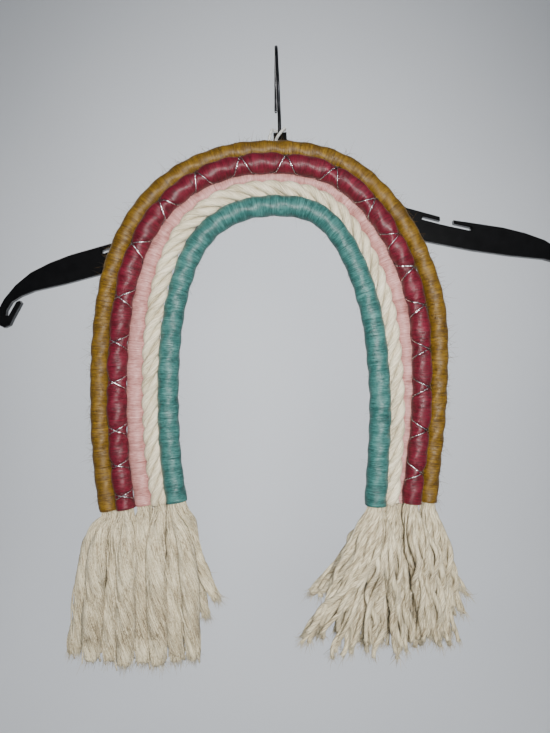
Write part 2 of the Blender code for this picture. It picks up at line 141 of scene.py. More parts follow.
bend_turn = np.linspace(0.0, math.pi / 2.0, 25)
sweep_y = np.concatenate([[SWEEP_FRONT], SWEEP_BACK - SWEEP_BEND * (1.0 - np.sin(bend_turn)), [SWEEP_BACK]])
sweep_z = np.concatenate([[0.0], SWEEP_BEND * (1.0 - np.cos(bend_turn)), [SWEEP_TOP]]) + FLOOR_Z
sweep_x = np.array([-SWEEP_HALF_WIDTH, SWEEP_HALF_WIDTH])
sweep_points = np.stack(np.broadcast_arrays(sweep_x[None, :], sweep_y[:, None], sweep_z[:, None]), axis=-1)
row = 2 * np.arange(len(sweep_y) - 1)
backdrop = put_mesh("backdrop", sweep_points.reshape(-1, 3),
                    np.stack([row, row + 1, row + 3, row + 2], axis=1))
print("backdrop", triangles(backdrop), "triangles, floor at", FLOOR_Z, "mm")


# %% Lamps
def soft_lamp(name, place, aim, size, power, colour, spread=180.0):
    """A square lamp in mm that faces its aim and shines into a cone of spread degrees."""
    data = bpy.data.lights.new(name, "AREA")
    data.size = size * MM
    data.spread = math.radians(spread)
    data.energy = power
    data.color = colour
    lamp = bpy.data.objects.new(name, data)
    lamp.location = in_frame(place)
    away = np.array(place) - np.array(aim)
    lamp.rotation_euler = (math.atan2(math.hypot(away[0], away[1]), away[2]), 0.0,
                           math.atan2(away[0], -away[1]))
    bpy.context.scene.collection.objects.link(lamp)
    return lamp


RAINBOW_MIDDLE = (0.0, -50.0, -240.0)
RAINBOW_LAMPS = {
    "key_lamp":  ((40.0, -560.0, -190.0), 110.0, 6.4, (1.0, 0.99, 0.96)),
    "side_lamp": ((550.0, -950.0, 700.0), 350.0, 2.6, (0.97, 0.98, 1.0)),
    "back_lamp": ((-700.0, 1100.0, 500.0), 700.0, 4.0, (1.0, 0.98, 0.95))}
SHEET_LAMPS = ((-600.0, -100.0, 9.5), (600.0, -100.0, 9.5), (0.0, 900.0, 10.0))
SHEET_LAMP_Y = 400.0
SHEET_LAMP_DROP = 250.0
SHEET_LAMP_SIZE = 1200.0
SHEET_LAMP_COLOUR = (0.98, 0.99, 1.0)
SHEET_LAMP_SPREAD = 150.0

for name, (place, size, power, colour) in RAINBOW_LAMPS.items():
    soft_lamp(name, place, RAINBOW_MIDDLE, size, power, colour)
for x, z, power in SHEET_LAMPS:
    soft_lamp("sheet_lamp", (x, SHEET_LAMP_Y, z), (x, SWEEP_BACK, z - SHEET_LAMP_DROP),
              SHEET_LAMP_SIZE, power, SHEET_LAMP_COLOUR, SHEET_LAMP_SPREAD)

world = bpy.data.worlds.new("studio")
world.use_nodes = True
sky = world.node_tree.nodes["Background"]
sky.inputs["Color"].default_value = (0.80, 0.86, 0.94, 1.0)
sky.inputs["Strength"].default_value = 0.14
bpy.context.scene.world = world
print("three lamps on the rainbow, three on the sheet and a dim sky")


# %% [markdown]
# ## Finishes
#
# Wound yarn, combed cotton, string, metal and moulded plastic each have their own grain. It could be drawn in
# a picture and laid on, but a pattern worked out from the place on the yarn never blurs and needs no file.
# Every rope and yarn carries its straightened place, so fine noise drawn out round a rope reads as winding,
# and drawn out along a yarn as fibre. The finishes of metal and plastic read plain object coordinates.
# Yarn and cotton are painted darker where their relief is low, as shade; metal colours hold painted glints.

# %% Helpers for finishes
def new_finish(name, roughness, metallic=0.0, sheen=0.0):
    """A material with its constant values set on the shader itself."""
    finish = bpy.data.materials.new(name)
    finish.use_nodes = True
    tree = finish.node_tree
    shader = tree.nodes["Principled BSDF"]
    shader.inputs["Roughness"].default_value = roughness
    shader.inputs["Metallic"].default_value = metallic
    shader.inputs["Sheen Weight"].default_value = sheen
    shader.inputs["Sheen Roughness"].default_value = 0.4
    return finish, tree, shader


def add_node(tree, kind, values=None, **settings):
    """One node of a finish, with its settings and its constant inputs."""
    made = tree.nodes.new(kind)
    for key, value in settings.items():
        setattr(made, key, value)
    for key, value in (values or {}).items():
        made.inputs[key].default_value = value
    return made


def yarn_place(tree, stretch):
    """The straightened place in mm, scaled by stretch: a small number draws a pattern out that way."""
    place = add_node(tree, "ShaderNodeAttribute", attribute_name="straight", attribute_type="GEOMETRY")
    scaled = add_node(tree, "ShaderNodeMapping", {"Scale": stretch})
    tree.links.new(place.outputs["Vector"], scaled.inputs["Vector"])
    return scaled.outputs["Vector"]


def noise(tree, place, scale=1.0, detail=3.0):
    """A noise read at a place. detail is the number of finer layers laid over the first."""
    made = add_node(tree, "ShaderNodeTexNoise", {"Scale": scale, "Detail": detail, "Roughness": 0.6})
    tree.links.new(place, made.inputs["Vector"])
    return made.outputs["Fac"]


def weighed(tree, parts):
    """The sum of several patterns, each times its weight."""
    total = None
    for socket, weight in parts:
        step = add_node(tree, "ShaderNodeMath", {1: weight}, operation="MULTIPLY_ADD")
        tree.links.new(socket, step.inputs[0])
        if total is None:
            step.inputs[2].default_value = 0.0
        else:
            tree.links.new(total, step.inputs[2])
        total = step.outputs[0]
    return total


def coloured(tree, pattern, stops, shader):
    """Turns a pattern into the base colour: stops are (height of the pattern, colour)."""
    ramp = add_node(tree, "ShaderNodeValToRGB")
    points = ramp.color_ramp.elements
    while len(points) < len(stops):
        points.new(0.5)
    for point, (height, colour) in zip(points, stops):
        point.position = height
        point.color = (*colour, 1.0)
    tree.links.new(pattern, ramp.inputs["Fac"])
    tree.links.new(ramp.outputs["Color"], shader.inputs["Base Color"])


LINE_SHARPNESS = 26.0


def groove_and_shade_lines(tree, pattern):
    """Peaks where a noise crosses its middle: 1 less the sharpness times the distance from a half, and
    never below 0."""
    offset = add_node(tree, "ShaderNodeMath", {1: 0.5}, operation="SUBTRACT")
    size = add_node(tree, "ShaderNodeMath", operation="ABSOLUTE")
    peak = add_node(tree, "ShaderNodeMath", {1: -LINE_SHARPNESS, 2: 1.0}, operation="MULTIPLY_ADD")
    kept = add_node(tree, "ShaderNodeMath", {1: 0.0}, operation="MAXIMUM")
    tree.links.new(pattern, offset.inputs[0])
    for before, after in ((offset, size), (size, peak), (peak, kept)):
        tree.links.new(before.outputs[0], after.inputs[0])
    return kept.outputs[0]


def bumped(tree, height, depth_mm, shader):
    """Turns a pattern into fine relief of this depth."""
    bump = add_node(tree, "ShaderNodeBump", {"Strength": 1.0, "Distance": depth_mm * MM})
    tree.links.new(height, bump.inputs["Height"])
    tree.links.new(bump.outputs["Normal"], shader.inputs["Normal"])


# %% Wound yarn
EVEN = (1.0, 1.0, 1.0)
TURN_STRETCH = (0.08, 0.08, 1.9)
WINDING_FIBRE_STRETCH = (0.35, 0.35, 3.4)
LINE_STRETCH = (0.05, 0.05, 0.85)
TONE_SCALE = 0.12


def winding_finish(name, dark, middle, light, roughness, sheen, depth_mm):
    """Uneven turns of yarn square to the rope, thin lines between some, and slow changes of tone. The colour
    follows the relief: low turns and the thin lines are painted darker, as shade in the grooves.
    """
    finish, tree, shader = new_finish(name, roughness, sheen=sheen)
    shader.inputs["Specular IOR Level"].default_value = 0.35
    turns = noise(tree, yarn_place(tree, TURN_STRETCH), detail=4.0)
    fibres = noise(tree, yarn_place(tree, WINDING_FIBRE_STRETCH))
    # Thin lines: grooves in the relief, and painted shade in the colour
    lines = groove_and_shade_lines(tree, noise(tree, yarn_place(tree, LINE_STRETCH)))
    tone = noise(tree, yarn_place(tree, EVEN), TONE_SCALE, 2.0)
    pattern = weighed(tree, [(turns, 0.42), (fibres, 0.38), (tone, 0.20), (lines, -0.05)])
    coloured(tree, pattern, [(0.36, dark), (0.47, middle), (0.60, light)], shader)
    bumped(tree, weighed(tree, [(turns, 0.55), (fibres, 0.25), (lines, -0.22)]), depth_mm, shader)
    return finish


# Dark, middle and light colour, roughness, sheen, depth of the relief in mm; the dark is painted groove shade
YARNS = {
    "mustard":   ((0.032, 0.014, 0.001), (0.092, 0.046, 0.002), (0.21, 0.118, 0.008), 0.48, 0.05, 0.36),
    "raspberry": ((0.025, 0.001, 0.0035), (0.075, 0.0035, 0.010), (0.16, 0.009, 0.026), 0.42, 0.04, 0.34),
    "pink":      ((0.19, 0.065, 0.06), (0.38, 0.17, 0.155), (0.56, 0.30, 0.28), 0.45, 0.04, 0.34),
    "teal":      ((0.006, 0.032, 0.031), (0.020, 0.085, 0.079), (0.062, 0.19, 0.175), 0.42, 0.05, 0.34)}
yarn_finishes = {name: winding_finish(name + "_yarn", *values) for name, values in YARNS.items()}
print("four wound finishes")


# %% Combed and twisted cotton
COTTON_STRETCH = (1.9, 1.9, 0.06)
COTTON_FIBRE_STRETCH = (4.2, 4.2, 0.30)
COTTON_TONE_STRETCH = (1.0, 1.0, 0.5)
COTTON_TONE_SCALE = 0.08


def cotton_finish(name, dark, middle, light, depth_mm):
    """Cotton fibres drawn out along the yarn, fine over coarse, with paler and duller stretches. The colour
    follows the relief, so the grooves between yarns and fibres are painted darker, as shade.
    """
    finish, tree, shader = new_finish(name, 0.75, sheen=0.12)
    yarns = noise(tree, yarn_place(tree, COTTON_STRETCH))
    fibres = noise(tree, yarn_place(tree, COTTON_FIBRE_STRETCH))
    tone = noise(tree, yarn_place(tree, COTTON_TONE_STRETCH), COTTON_TONE_SCALE, 2.0)
    pattern = weighed(tree, [(yarns, 0.40), (fibres, 0.35), (tone, 0.25)])
    coloured(tree, pattern, [(0.40, dark), (0.48, middle), (0.57, light)], shader)
    bumped(tree, weighed(tree, [(yarns, 0.6), (fibres, 0.4)]), depth_mm, shader)
    return finish


# Dark, middle and light colour, depth of the relief in mm; the dark is painted shade in the grooves
COTTONS = {
    "cream_cotton":  ((0.26, 0.205, 0.12), (0.54, 0.475, 0.33), (0.76, 0.69, 0.53), 0.35),
    "combed_cotton": ((0.09, 0.062, 0.032), (0.42, 0.35, 0.22), (0.74, 0.665, 0.48), 0.80),
    "loop_string":   ((0.22, 0.22, 0.21), (0.44, 0.44, 0.42), (0.62, 0.62, 0.60), 0.15)}
cotton_finishes = [cotton_finish(name, *values) for name, values in COTTONS.items()]
cream_finish, fringe_finish, string_finish = cotton_finishes
print("three cotton finishes")


# %% Metal and moulded plastic
def object_place(tree, scale):
    """Plain object coordinates in metres, times a scale."""
    place = add_node(tree, "ShaderNodeTexCoord")
    scaled = add_node(tree, "ShaderNodeMapping", {"Scale": (scale, scale, scale)})
    tree.links.new(place.outputs["Object"], scaled.inputs["Vector"])
    return scaled.outputs["Vector"]


def metal_finish(name, dark_reflection, bright_reflection, roughness, place_of, depth_mm):
    """Bare metal whose colour, from a painted dark reflection to a painted bright one, and fine relief follow
    a noise.
    """
    finish, tree, shader = new_finish(name, roughness, metallic=1.0)
    grain = noise(tree, place_of(tree))
    coloured(tree, grain, [(0.42, dark_reflection), (0.56, bright_reflection)], shader)
    bumped(tree, grain, depth_mm, shader)
    return finish


# The silver thread's colour runs from near black to near white: painted dark reflections and glints.
silver_glint_finish = metal_finish("silver_thread", (0.015, 0.015, 0.018), (0.95, 0.95, 0.98), 0.26,
                             lambda tree: yarn_place(tree, (1.0, 1.0, 1.3)), 0.20)
# The hook wire's colour is kept near black: a painted reflection of a dark room, with a fine grain.
wire_reflection_finish = metal_finish("hook_wire", (0.05, 0.05, 0.055), (0.13, 0.13, 0.14), 0.20,
                           lambda tree: object_place(tree, 180.0), 0.01)

plastic_finish, plastic_tree, plastic_shader = new_finish("black_plastic", 0.24)
plastic_shader.inputs["Specular IOR Level"].default_value = 0.3
plastic_grain = noise(plastic_tree, object_place(plastic_tree, 140.0), detail=4.0)
coloured(plastic_tree, plastic_grain, [(0.3, (0.0010, 0.0010, 0.0012)), (0.7, (0.0026, 0.0026, 0.0030))],
         plastic_shader)
bumped(plastic_tree, plastic_grain, 0.03, plastic_shader)

sheet_finish, sheet_tree, sheet_shader = new_finish("backdrop_sheet", 0.9)
sheet_grain = noise(sheet_tree, object_place(sheet_tree, 1.2), detail=1.0)
coloured(sheet_tree, sheet_grain, [(0.3, (0.70, 0.72, 0.75)), (0.7, (0.73, 0.75, 0.78))], sheet_shader)
backdrop.data.materials.append(sheet_finish)
print("silver, wire, plastic and backdrop finishes")


# %% [markdown]
# ## The arch
#
# Each rope is an arch of its own length, tied to its neighbours so that they touch. The five middle lines
# could be drawn one by one, but then a rope would sink into the next. So only the innermost line is drawn,
# as a spline through points, and each next line is stepped outward from it by the two radii, slipping behind
# or in front where the arch looks drawn together. The values are those of the CAD source.

# %% Lengths and directions
def length_along(points):
    """Length from a line's start to each of its points: the running sum of the steps between them."""
    steps = np.linalg.norm(np.diff(points, axis=-2), axis=-1)
    return np.concatenate([np.zeros_like(steps[..., :1]), np.cumsum(steps, axis=-1)], axis=-1)


def read_along(at, run, field):
    """A field of vectors, known at the lengths run, read at other lengths on straight lines between."""
    return np.stack([np.interp(at, run, column) for column in np.transpose(field)], axis=-1)


def unit(vectors):
    """Vectors divided by their own lengths."""
    return vectors / np.linalg.norm(vectors, axis=-1, keepdims=True)


# %% Splines
def smooth_curve(knots, count, closed=False):
    """A natural cubic spline through the knots, with its chord length as parameter, read at even steps."""
    knots = np.asarray(knots, float)
    first = 0
    if closed:
        first = 3
        knots = np.vstack([knots[-first:], knots, knots[:first + 1]])
    chord = length_along(knots)
    gaps = np.diff(chord)
    size = len(knots)
    system = np.eye(size)
    right = np.zeros_like(knots)
    inner = np.arange(1, size - 1)
    system[inner, inner - 1] = gaps[:-1]
    system[inner, inner] = 2.0 * (gaps[:-1] + gaps[1:])
    system[inner, inner + 1] = gaps[1:]
    slope = np.diff(knots, axis=0) / gaps[:, None]
    right[1:-1] = 6.0 * np.diff(slope, axis=0)
    bend = np.linalg.solve(system, right)
    last = size - 1 - (first + 1 if closed else 0)
    at = np.linspace(chord[first], chord[last], count, endpoint=not closed)
    i = np.clip(np.searchsorted(chord, at, side="right") - 1, 0, size - 2)
    h = gaps[i][:, None]
    a = (chord[i + 1] - at)[:, None]
    b = (at - chord[i])[:, None]
    return (bend[i] * a ** 3 + bend[i + 1] * b ** 3) / (6.0 * h) \
        + (knots[i] / h - bend[i] * h / 6.0) * a + (knots[i + 1] / h - bend[i + 1] * h / 6.0) * b


# %% Lines of the five ropes
TEAL_LINE = (
    (-71.5, -330.3), (-75.6, -300.0), (-77.6, -262.0), (-77.0, -228.0), (-74.0, -198.0), (-67.0, -168.0),
    (-53.0, -140.0), (-29.0, -122.5), (2.0, -117.5), (28.0, -122.5), (46.5, -140.0), (60.5, -168.0),
    (69.3, -199.0), (73.5, -232.0), (75.0, -262.0), (74.0, -292.0), (71.4, -333.0))
TEAL_Y = -50.0
ROPE_GAP = 0.5
SPACING = {
    "station":   (0.00, 0.12, 0.25, 0.34, 0.42, 0.50, 0.58, 0.65, 0.70, 0.78, 0.88, 1.00),
    "cream":     (12.9, 13.0, 13.5, 13.5, 13.5, 13.0, 11.6, 11.5, 12.9, 12.3, 12.6, 12.2),
    "pink":      (12.0, 11.8, 11.4, 11.8, 10.2, 9.8, 11.4, 11.9, 11.0, 11.2, 9.6, 7.6),
    "raspberry": (12.8, 12.9, 12.5, 11.4, 8.6, 7.6, 7.4, 8.4, 11.6, 9.0, 7.8, 7.0),
    "mustard":   (13.4, 13.4, 13.4, 13.2, 12.2, 11.8, 12.4, 13.4, 13.4, 13.4, 12.2, 13.0)}
SPACING_BLEND = 0.05
ROPES = {
    "teal":      {"radius": (7.4, 7.3, 7.7), "side": 0, "trim": 0.0},
    "cream":     {"radius": (5.6, 5.7, 5.7), "side": 1, "trim": 0.5},
    "pink":      {"radius": (6.3, 5.7, 5.7), "side": 1, "trim": 0.5},
    "raspberry": {"radius": (6.8, 6.8, 6.6), "side": -1, "trim": 2.5},
    "mustard":   {"radius": (6.7, 6.2, 6.2), "side": 1, "trim": 3.5}}


def blend_column(stations, values, at):
    """Reads a table's column along the arch, with its corners rounded off by a running mean."""
    reach = np.linspace(-SPACING_BLEND, SPACING_BLEND, 9)
    return np.mean([np.interp(at + r, stations, values) for r in reach], axis=0)


def arch_lines(count=1201):
    """Middle line, radius and outward direction of every rope at the same stations.

    Two neighbours' middles are apart by both radii and a small gap. Seen from the front they are apart by
    the table's spacing, and the rest of the distance, by the rule of Pythagoras, is depth.
    """
    flat = smooth_curve(TEAL_LINE, count)
    along = unit(np.gradient(flat, axis=0))
    out = np.stack([-along[:, 1], along[:, 0]], axis=1)
    run = length_along(flat)
    at = run / run[-1]
    lines = {}
    offset = np.zeros(count)
    depth = np.full(count, TEAL_Y)
    inner_radius = None
    for name, rope in ROPES.items():
        radius = np.interp(at, (0.0, 0.5, 1.0), rope["radius"])
        if inner_radius is not None:
            apart = inner_radius + radius + ROPE_GAP
            seen = np.minimum(blend_column(SPACING["station"], SPACING[name], at), apart)
            offset = offset + seen
            depth = depth + rope["side"] * np.sqrt(apart ** 2 - seen ** 2)
        middle = np.stack([flat[:, 0] + out[:, 0] * offset, depth, flat[:, 1] + out[:, 1] * offset], axis=1)
        lines[name] = {"middle": middle, "radius": radius, "out": out}
        inner_radius = radius
    return lines


def walk_rope(line, step, trim):
    """Reads a rope at even lengths: middles, radii, and the outward, front and forward directions."""
    middle = line["middle"]
    run = length_along(middle)
    length = run[-1] - trim
    at = np.linspace(0.0, length, 1 + round(length / step))
    tangent = unit(read_along(at, run, np.gradient(middle, axis=0)))
    out = np.insert(read_along(at, run, line["out"]), 1, 0.0, axis=1)
    out = unit(out - tangent * np.sum(out * tangent, axis=1, keepdims=True))
    return {"at": at, "points": read_along(at, run, middle), "radius": np.interp(at, run, line["radius"]),
            "out": out, "front": np.cross(tangent, out), "tangent": tangent, "length": length}


RING_STEP = 0.75
rope_lines = arch_lines()
walks = {name: walk_rope(rope_lines[name], RING_STEP, rope["trim"]) for name, rope in ROPES.items()}
print("rope lengths in mm", {name: round(walk["length"], 1) for name, walk in walks.items()})


# %% [markdown]
# ## Tubes
#
# Ropes, yarns, threads and single fibres are all tubes: a round profile carried along a line. A curve object
# with a bevel would do for one, but there are thousands, so one function makes any number of them at once as
# arrays and closes both ends of each. Each tube also stores its straightened place for the finishes.

# %% Profiles carried along many lines at once
START_AXIS = (0.31, 0.87, 0.38)
PATTERN_SHIFT = 37.0


def carried_frames(lines):
    """Two axes square to each line. Each ring's axis is the one before it, less its part along the line."""
    along = unit(np.gradient(lines, axis=1))
    side = np.empty_like(lines)
    side[:, 0] = unit(np.cross(along[:, 0], START_AXIS))
    for ring in range(1, lines.shape[1]):
        kept = side[:, ring - 1]
        side[:, ring] = unit(kept - along[:, ring] * np.sum(kept * along[:, ring], axis=1, keepdims=True))
    return side, np.cross(along, side)


def tube_faces(tubes, rings, sides):
    """Quads between neighbouring rings and a fan over each end, for tubes stored one after another."""
    k, j = np.meshgrid(np.arange(rings - 1), np.arange(sides), indexing="ij")
    after = (j + 1) % sides
    ring, next_ring = k * sides, (k + 1) * sides
    quads = np.stack([ring + j, ring + after, next_ring + after, next_ring + j], axis=-1)
    j = np.arange(sides)
    after = (j + 1) % sides
    last = (rings - 1) * sides
    start_fan = np.stack([np.full(sides, rings * sides), after, j], axis=1)
    end_fan = np.stack([np.full(sides, rings * sides + 1), last + j, last + after], axis=1)
    shift = (np.arange(tubes) * (rings * sides + 2))[:, None, None]
    return quads.reshape(-1, 4)[None] + shift, np.concatenate([start_fan, end_fan])[None] + shift


def make_tubes(name, lines, radius, turn, frames=None, twist=0.0):
    """Closed tubes along lines of shape (tubes, rings, 3).

    A point is its ring's middle, plus the radius times the cosine of its turn along the first axis, plus
    the radius times the sine of its turn along the second. twist, in radians a mm, lets the pattern that
    the finish reads wind round the tube.
    """
    tubes, rings = lines.shape[:2]
    side, up = carried_frames(lines) if frames is None else frames
    shape = (tubes, rings, np.shape(turn)[-1])
    turn = np.broadcast_to(turn, shape)
    radius = np.broadcast_to(radius, shape)
    across = radius[..., None] * (np.cos(turn)[..., None] * side[:, :, None]
                                  + np.sin(turn)[..., None] * up[:, :, None])
    run = length_along(lines) + PATTERN_SHIFT * np.arange(tubes)[:, None]
    pattern_turn = turn + twist * run[..., None]
    flat = np.stack([radius * np.cos(pattern_turn), radius * np.sin(pattern_turn),
                     np.broadcast_to(run[..., None], shape)], axis=-1)
    ends = np.stack([lines[:, 0], lines[:, -1]], axis=1)
    flat_ends = np.zeros((tubes, 2, 3))
    flat_ends[..., 2] = run[:, [0, -1]]
    points = np.concatenate([(lines[:, :, None] + across).reshape(tubes, -1, 3), ends], axis=1)
    flat = np.concatenate([flat.reshape(tubes, -1, 3), flat_ends], axis=1)
    quads, fans = tube_faces(*shape)
    return put_mesh(name, points.reshape(-1, 3), quads, fans, flat.reshape(-1, 3))


def even_turns(sides):
    """Turns of the points round a ring: a full circle times the point's number, over how many there are."""
    return 2.0 * math.pi * np.arange(sides) / sides


def dress(piece, finish, slot, *nodes):
    """Gives a piece its finish, lets it ride on the one body, and hides the nodes it stands for. slot is not
    used.
    """
    piece.data.materials.append(finish)
    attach(piece, "root")
    if nodes:
        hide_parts(*nodes)
    print(piece.name, triangles(piece), "triangles")
    return piece


# %% [markdown]
# ## Wound ropes
#
# The winding goes round and round a thick three-strand rope, so its surface is nearly a smooth tube that
# swells in a long screw line wherever a strand lies beneath, and single turns of yarn stand proud or sink.
# Each rope is one grid over its length and its turn, and the height of the grid is that screw line plus soft
# noises read on slightly slanted rings, because a hand never winds quite square.

# %% Soft noise along a line
NOISE_HEIGHTS = 4096


def soft_noise(x, pitch, seed):
    """Random heights from -1 to 1 at every pitch, joined by smooth steps: 3 u squared less 2 u cubed."""
    heights = np.random.default_rng(seed).uniform(-1.0, 1.0, NOISE_HEIGHTS)
    cell = np.floor(x / pitch).astype(int)
    u = x / pitch - cell
    u = u * u * (3.0 - 2.0 * u)
    return heights[cell % NOISE_HEIGHTS] * (1.0 - u) + heights[(cell + 1) % NOISE_HEIGHTS] * u


# %% Surface of a wound rope
CORE_LAY = 48.0
CORE_SWELL = 0.28
SWELL_CHANGE = 0.4
SWELL_PITCH = 17.0
WRAP_FILL = {"mustard": 0.35, "raspberry": 0.35, "pink": 0.80, "teal": 0.15}
WRAP_SLANT = 0.9
WRAP_DRIFT = 0.05
TURN_RELIEF = ((1.5, 0.09), (3.6, 0.05), (11.0, 0.12))


def wound_radius(at, turn, radius, seed, fill):
    """Rope radius and fill, plus a screw line over the three strands beneath, plus noises on slanted rings.

    The screw line is the swell times the cosine of three times the turn, less three turns in every lay.
    """
    slanted = at + WRAP_SLANT * np.cos(turn + WRAP_DRIFT * at + seed)
    swell = CORE_SWELL * (1.0 + SWELL_CHANGE * soft_noise(at, SWELL_PITCH, seed + 9))
    height = radius + fill + swell * np.cos(3.0 * (turn - 2.0 * math.pi * at / CORE_LAY + seed))
    for number, (pitch, relief) in enumerate(TURN_RELIEF):
        height = height + relief * soft_noise(slanted, pitch, seed + number)
    return height


def winding(name, walk, sides, radius_of):
    """One wound rope as a grid: rings along its line, points round each ring."""
    turn = even_turns(sides)[None]
    radius = radius_of(walk["at"][:, None], turn, walk["radius"][:, None])
    frames = (walk["out"][None], walk["front"][None])
    return make_tubes(name, walk["points"][None], radius[None], turn[None], frames)


# %% Mustard, pink and teal
for name, seed, sides in (("mustard", 11, 30), ("pink", 23, 28), ("teal", 37, 32)):
    wound = winding(name + "_winding", walks[name], sides,
                    lambda at, turn, radius: wound_radius(at, turn, radius, seed, WRAP_FILL[name]))
    dress(wound, yarn_finishes[name], name + "_yarn", "rope_" + name)

# %% [markdown]
# ## Raspberry rope and its silver thread
#
# Two metallic threads run round the raspberry rope in opposite ways and cross in front, and each crossing
# draws the winding in. A thread's turn could grow evenly along the rope, but the crosses in front are steep
# and the way round the back is long, so the turn grows fastest at a crossing. The same rule gives the
# grooves.

# %% Where the threads cross, in mm from the left end
CROSSINGS = (10.0, 32.0, 57.0, 92.0, 121.0, 153.0, 191.0, 226.0, 257.0, 289.0, 321.0, 357.0, 391.0, 420.0,
             445.0, 473.0, 504.0, 531.0, 562.0, 593.0)
BEFORE_FIRST = 24.0
AFTER_LAST = 30.0
THREAD_HASTE = 0.75
THREAD_RADIUS = 0.44
THREAD_SEAT = 0.9
THREAD_TWIST = 2.4
THREAD_POINTS = 1100
THREAD_END = 3.0
CROSS_OVER = 1.2
PINCH_DEPTH = 1.35
PINCH_WIDTH = 5.0
PINCH_SIDEWAYS = 0.55
PINCH_FORWARD = 0.45
GROOVE_DEPTH = 0.6
GROOVE_WIDTH = 1.05
FRONT = math.pi / 2.0
CROSSING_LEAN = 0.8
LEAN_FROM = 60.0
LEAN_OVER = 160.0


def thread_turn(at):
    """Whole turns counted from crossing to crossing, hurried there: 2 pi n + haste times sin(2 pi n)."""
    places = np.array((CROSSINGS[0] - BEFORE_FIRST, *CROSSINGS, CROSSINGS[-1] + AFTER_LAST))
    count = 2.0 * math.pi * np.interp(at, places, np.arange(len(places)))
    return count + THREAD_HASTE * np.sin(count)


def crossing_turn(at):
    """Where round the rope the threads cross: in front at the left end, then ever nearer the outer side."""
    return FRONT - CROSSING_LEAN * np.clip((at - LEAN_FROM) / LEAN_OVER, 0.0, 1.0)


def off_crossing(at):
    """Distance along the rope to the nearest crossing."""
    return np.min(np.abs(np.asarray(at)[..., None] - CROSSINGS), axis=-1)


def pinched_radius(at, turn, radius):
    """The wound surface, drawn in round each crossing and grooved under both threads.

    The pinch is deepest in front and a tenth of that at the back. A groove is a bell curve of the distance
    square to the thread, which is the distance round the rope times the cosine of the thread's slant.
    """
    pinch = PINCH_DEPTH * (PINCH_SIDEWAYS + PINCH_FORWARD * np.sin(turn)) \
        * np.exp(-(off_crossing(at) / PINCH_WIDTH) ** 2)
    height = wound_radius(at, turn, radius, 51, WRAP_FILL["raspberry"]) - pinch
    step = 0.1
    slant = np.arctan(radius * (thread_turn(at + step) - thread_turn(at - step)) / (2.0 * step))
    for way in (1.0, -1.0):
        apart = turn - crossing_turn(at) - way * thread_turn(at)
        apart = (apart + math.pi) % (2.0 * math.pi) - math.pi
        height = height - GROOVE_DEPTH * np.exp(-(apart * radius * np.cos(slant) / GROOVE_WIDTH) ** 2)
    return height


raspberry = winding("raspberry_winding", walks["raspberry"], 42, pinched_radius)
dress(raspberry, yarn_finishes["raspberry"], "raspberry_yarn", "rope_raspberry")


# %% Silver threads
def on_rope(walk, at, turn, height):
    """Points at a length along a rope, a turn round it and a height over its middle line."""
    points, out, front = (read_along(at, walk["at"], walk[key]) for key in ("points", "out", "front"))
    normal = np.cos(turn)[..., None] * out + np.sin(turn)[..., None] * front
    return points + normal * height[..., None], normal


thread_at = np.linspace(THREAD_END, walks["raspberry"]["length"] - THREAD_END, THREAD_POINTS)
rope_radius = np.interp(thread_at, walks["raspberry"]["at"], walks["raspberry"]["radius"])
for number, way in ((1, 1.0), (2, -1.0)):
    turn = crossing_turn(thread_at) + way * thread_turn(thread_at)
    over = np.exp(-(off_crossing(thread_at) / CROSS_OVER) ** 2) * 2.0 * THREAD_RADIUS * (number - 1)
    height = pinched_radius(thread_at, turn, rope_radius) + THREAD_RADIUS * THREAD_SEAT + over
    line, _ = on_rope(walks["raspberry"], thread_at, turn, height)
    thread = make_tubes("silver_thread_" + str(number), line[None], THREAD_RADIUS, even_turns(6)[None, None],
                        twist=THREAD_TWIST)
    dress(thread, silver_glint_finish, "silver_thread")

# %% [markdown]
# ## Bare twisted rope
#
# The cream rope is three strands laid round each other to the right, and each strand is itself a bundle of
# yarns twisted the other way. One lobed tube would show the grooves, but not how one strand dives under the
# next, so the strands are three tubes on helices, each with its own fine lobes.

# %% Three strands on helices
STRAND_LAYS = (35.0, 44.0)
STRAND_SHARE = 0.458
STRAND_FILL = 0.9
STRAND_FORWARD = 1.0
YARNS_IN_STRAND = 9
YARN_LAY = 44.0
YARN_GROOVE = 0.12
STRAND_STEP = 1.2
STRAND_SIDES = 30
STRAND_UNEVEN = 0.06
STRAND_PITCH = 4.0


def strand_lines(walk):
    """Strand k's middle: a good half radius off the rope's middle, at a turn that grows once every lay.

    The lay grows evenly along the rope, so the turns so far are the logarithm of lay over first lay, times
    the rope's length over the lay's whole growth.
    """
    tight, loose = STRAND_LAYS
    lay = tight + (loose - tight) * walk["at"] / walk["length"]
    turns = walk["length"] / (loose - tight) * np.log(lay / tight)
    turn = even_turns(3)[:, None] + 2.0 * math.pi * turns[None]
    reach = (1.0 - STRAND_SHARE) * (walk["radius"] + STRAND_FILL)
    return walk["points"][None] - (0.0, STRAND_FORWARD, 0.0) + reach[None, :, None] * (
        np.cos(turn)[..., None] * walk["out"][None] + np.sin(turn)[..., None] * walk["front"][None])


cream_walk = walk_rope(rope_lines["cream"], STRAND_STEP, ROPES["cream"]["trim"])
lines = strand_lines(cream_walk)
turn = even_turns(STRAND_SIDES)[None, None]
lobes = 1.0 - np.abs(np.cos(YARNS_IN_STRAND / 2.0 * (turn + 2.0 * math.pi * cream_walk["at"][None, :, None]
                                                     / YARN_LAY)))
radius = STRAND_SHARE * (cream_walk["radius"][None, :, None] + STRAND_FILL) - YARN_GROOVE * lobes ** 2 \
    + STRAND_UNEVEN * soft_noise(cream_walk["at"], STRAND_PITCH, 7)[None, :, None]
cream = make_tubes("cream_strands", lines, radius, turn, twist=-2.0 * math.pi / YARN_LAY)
dress(cream, cream_finish, "cream_cotton", "rope_cream")

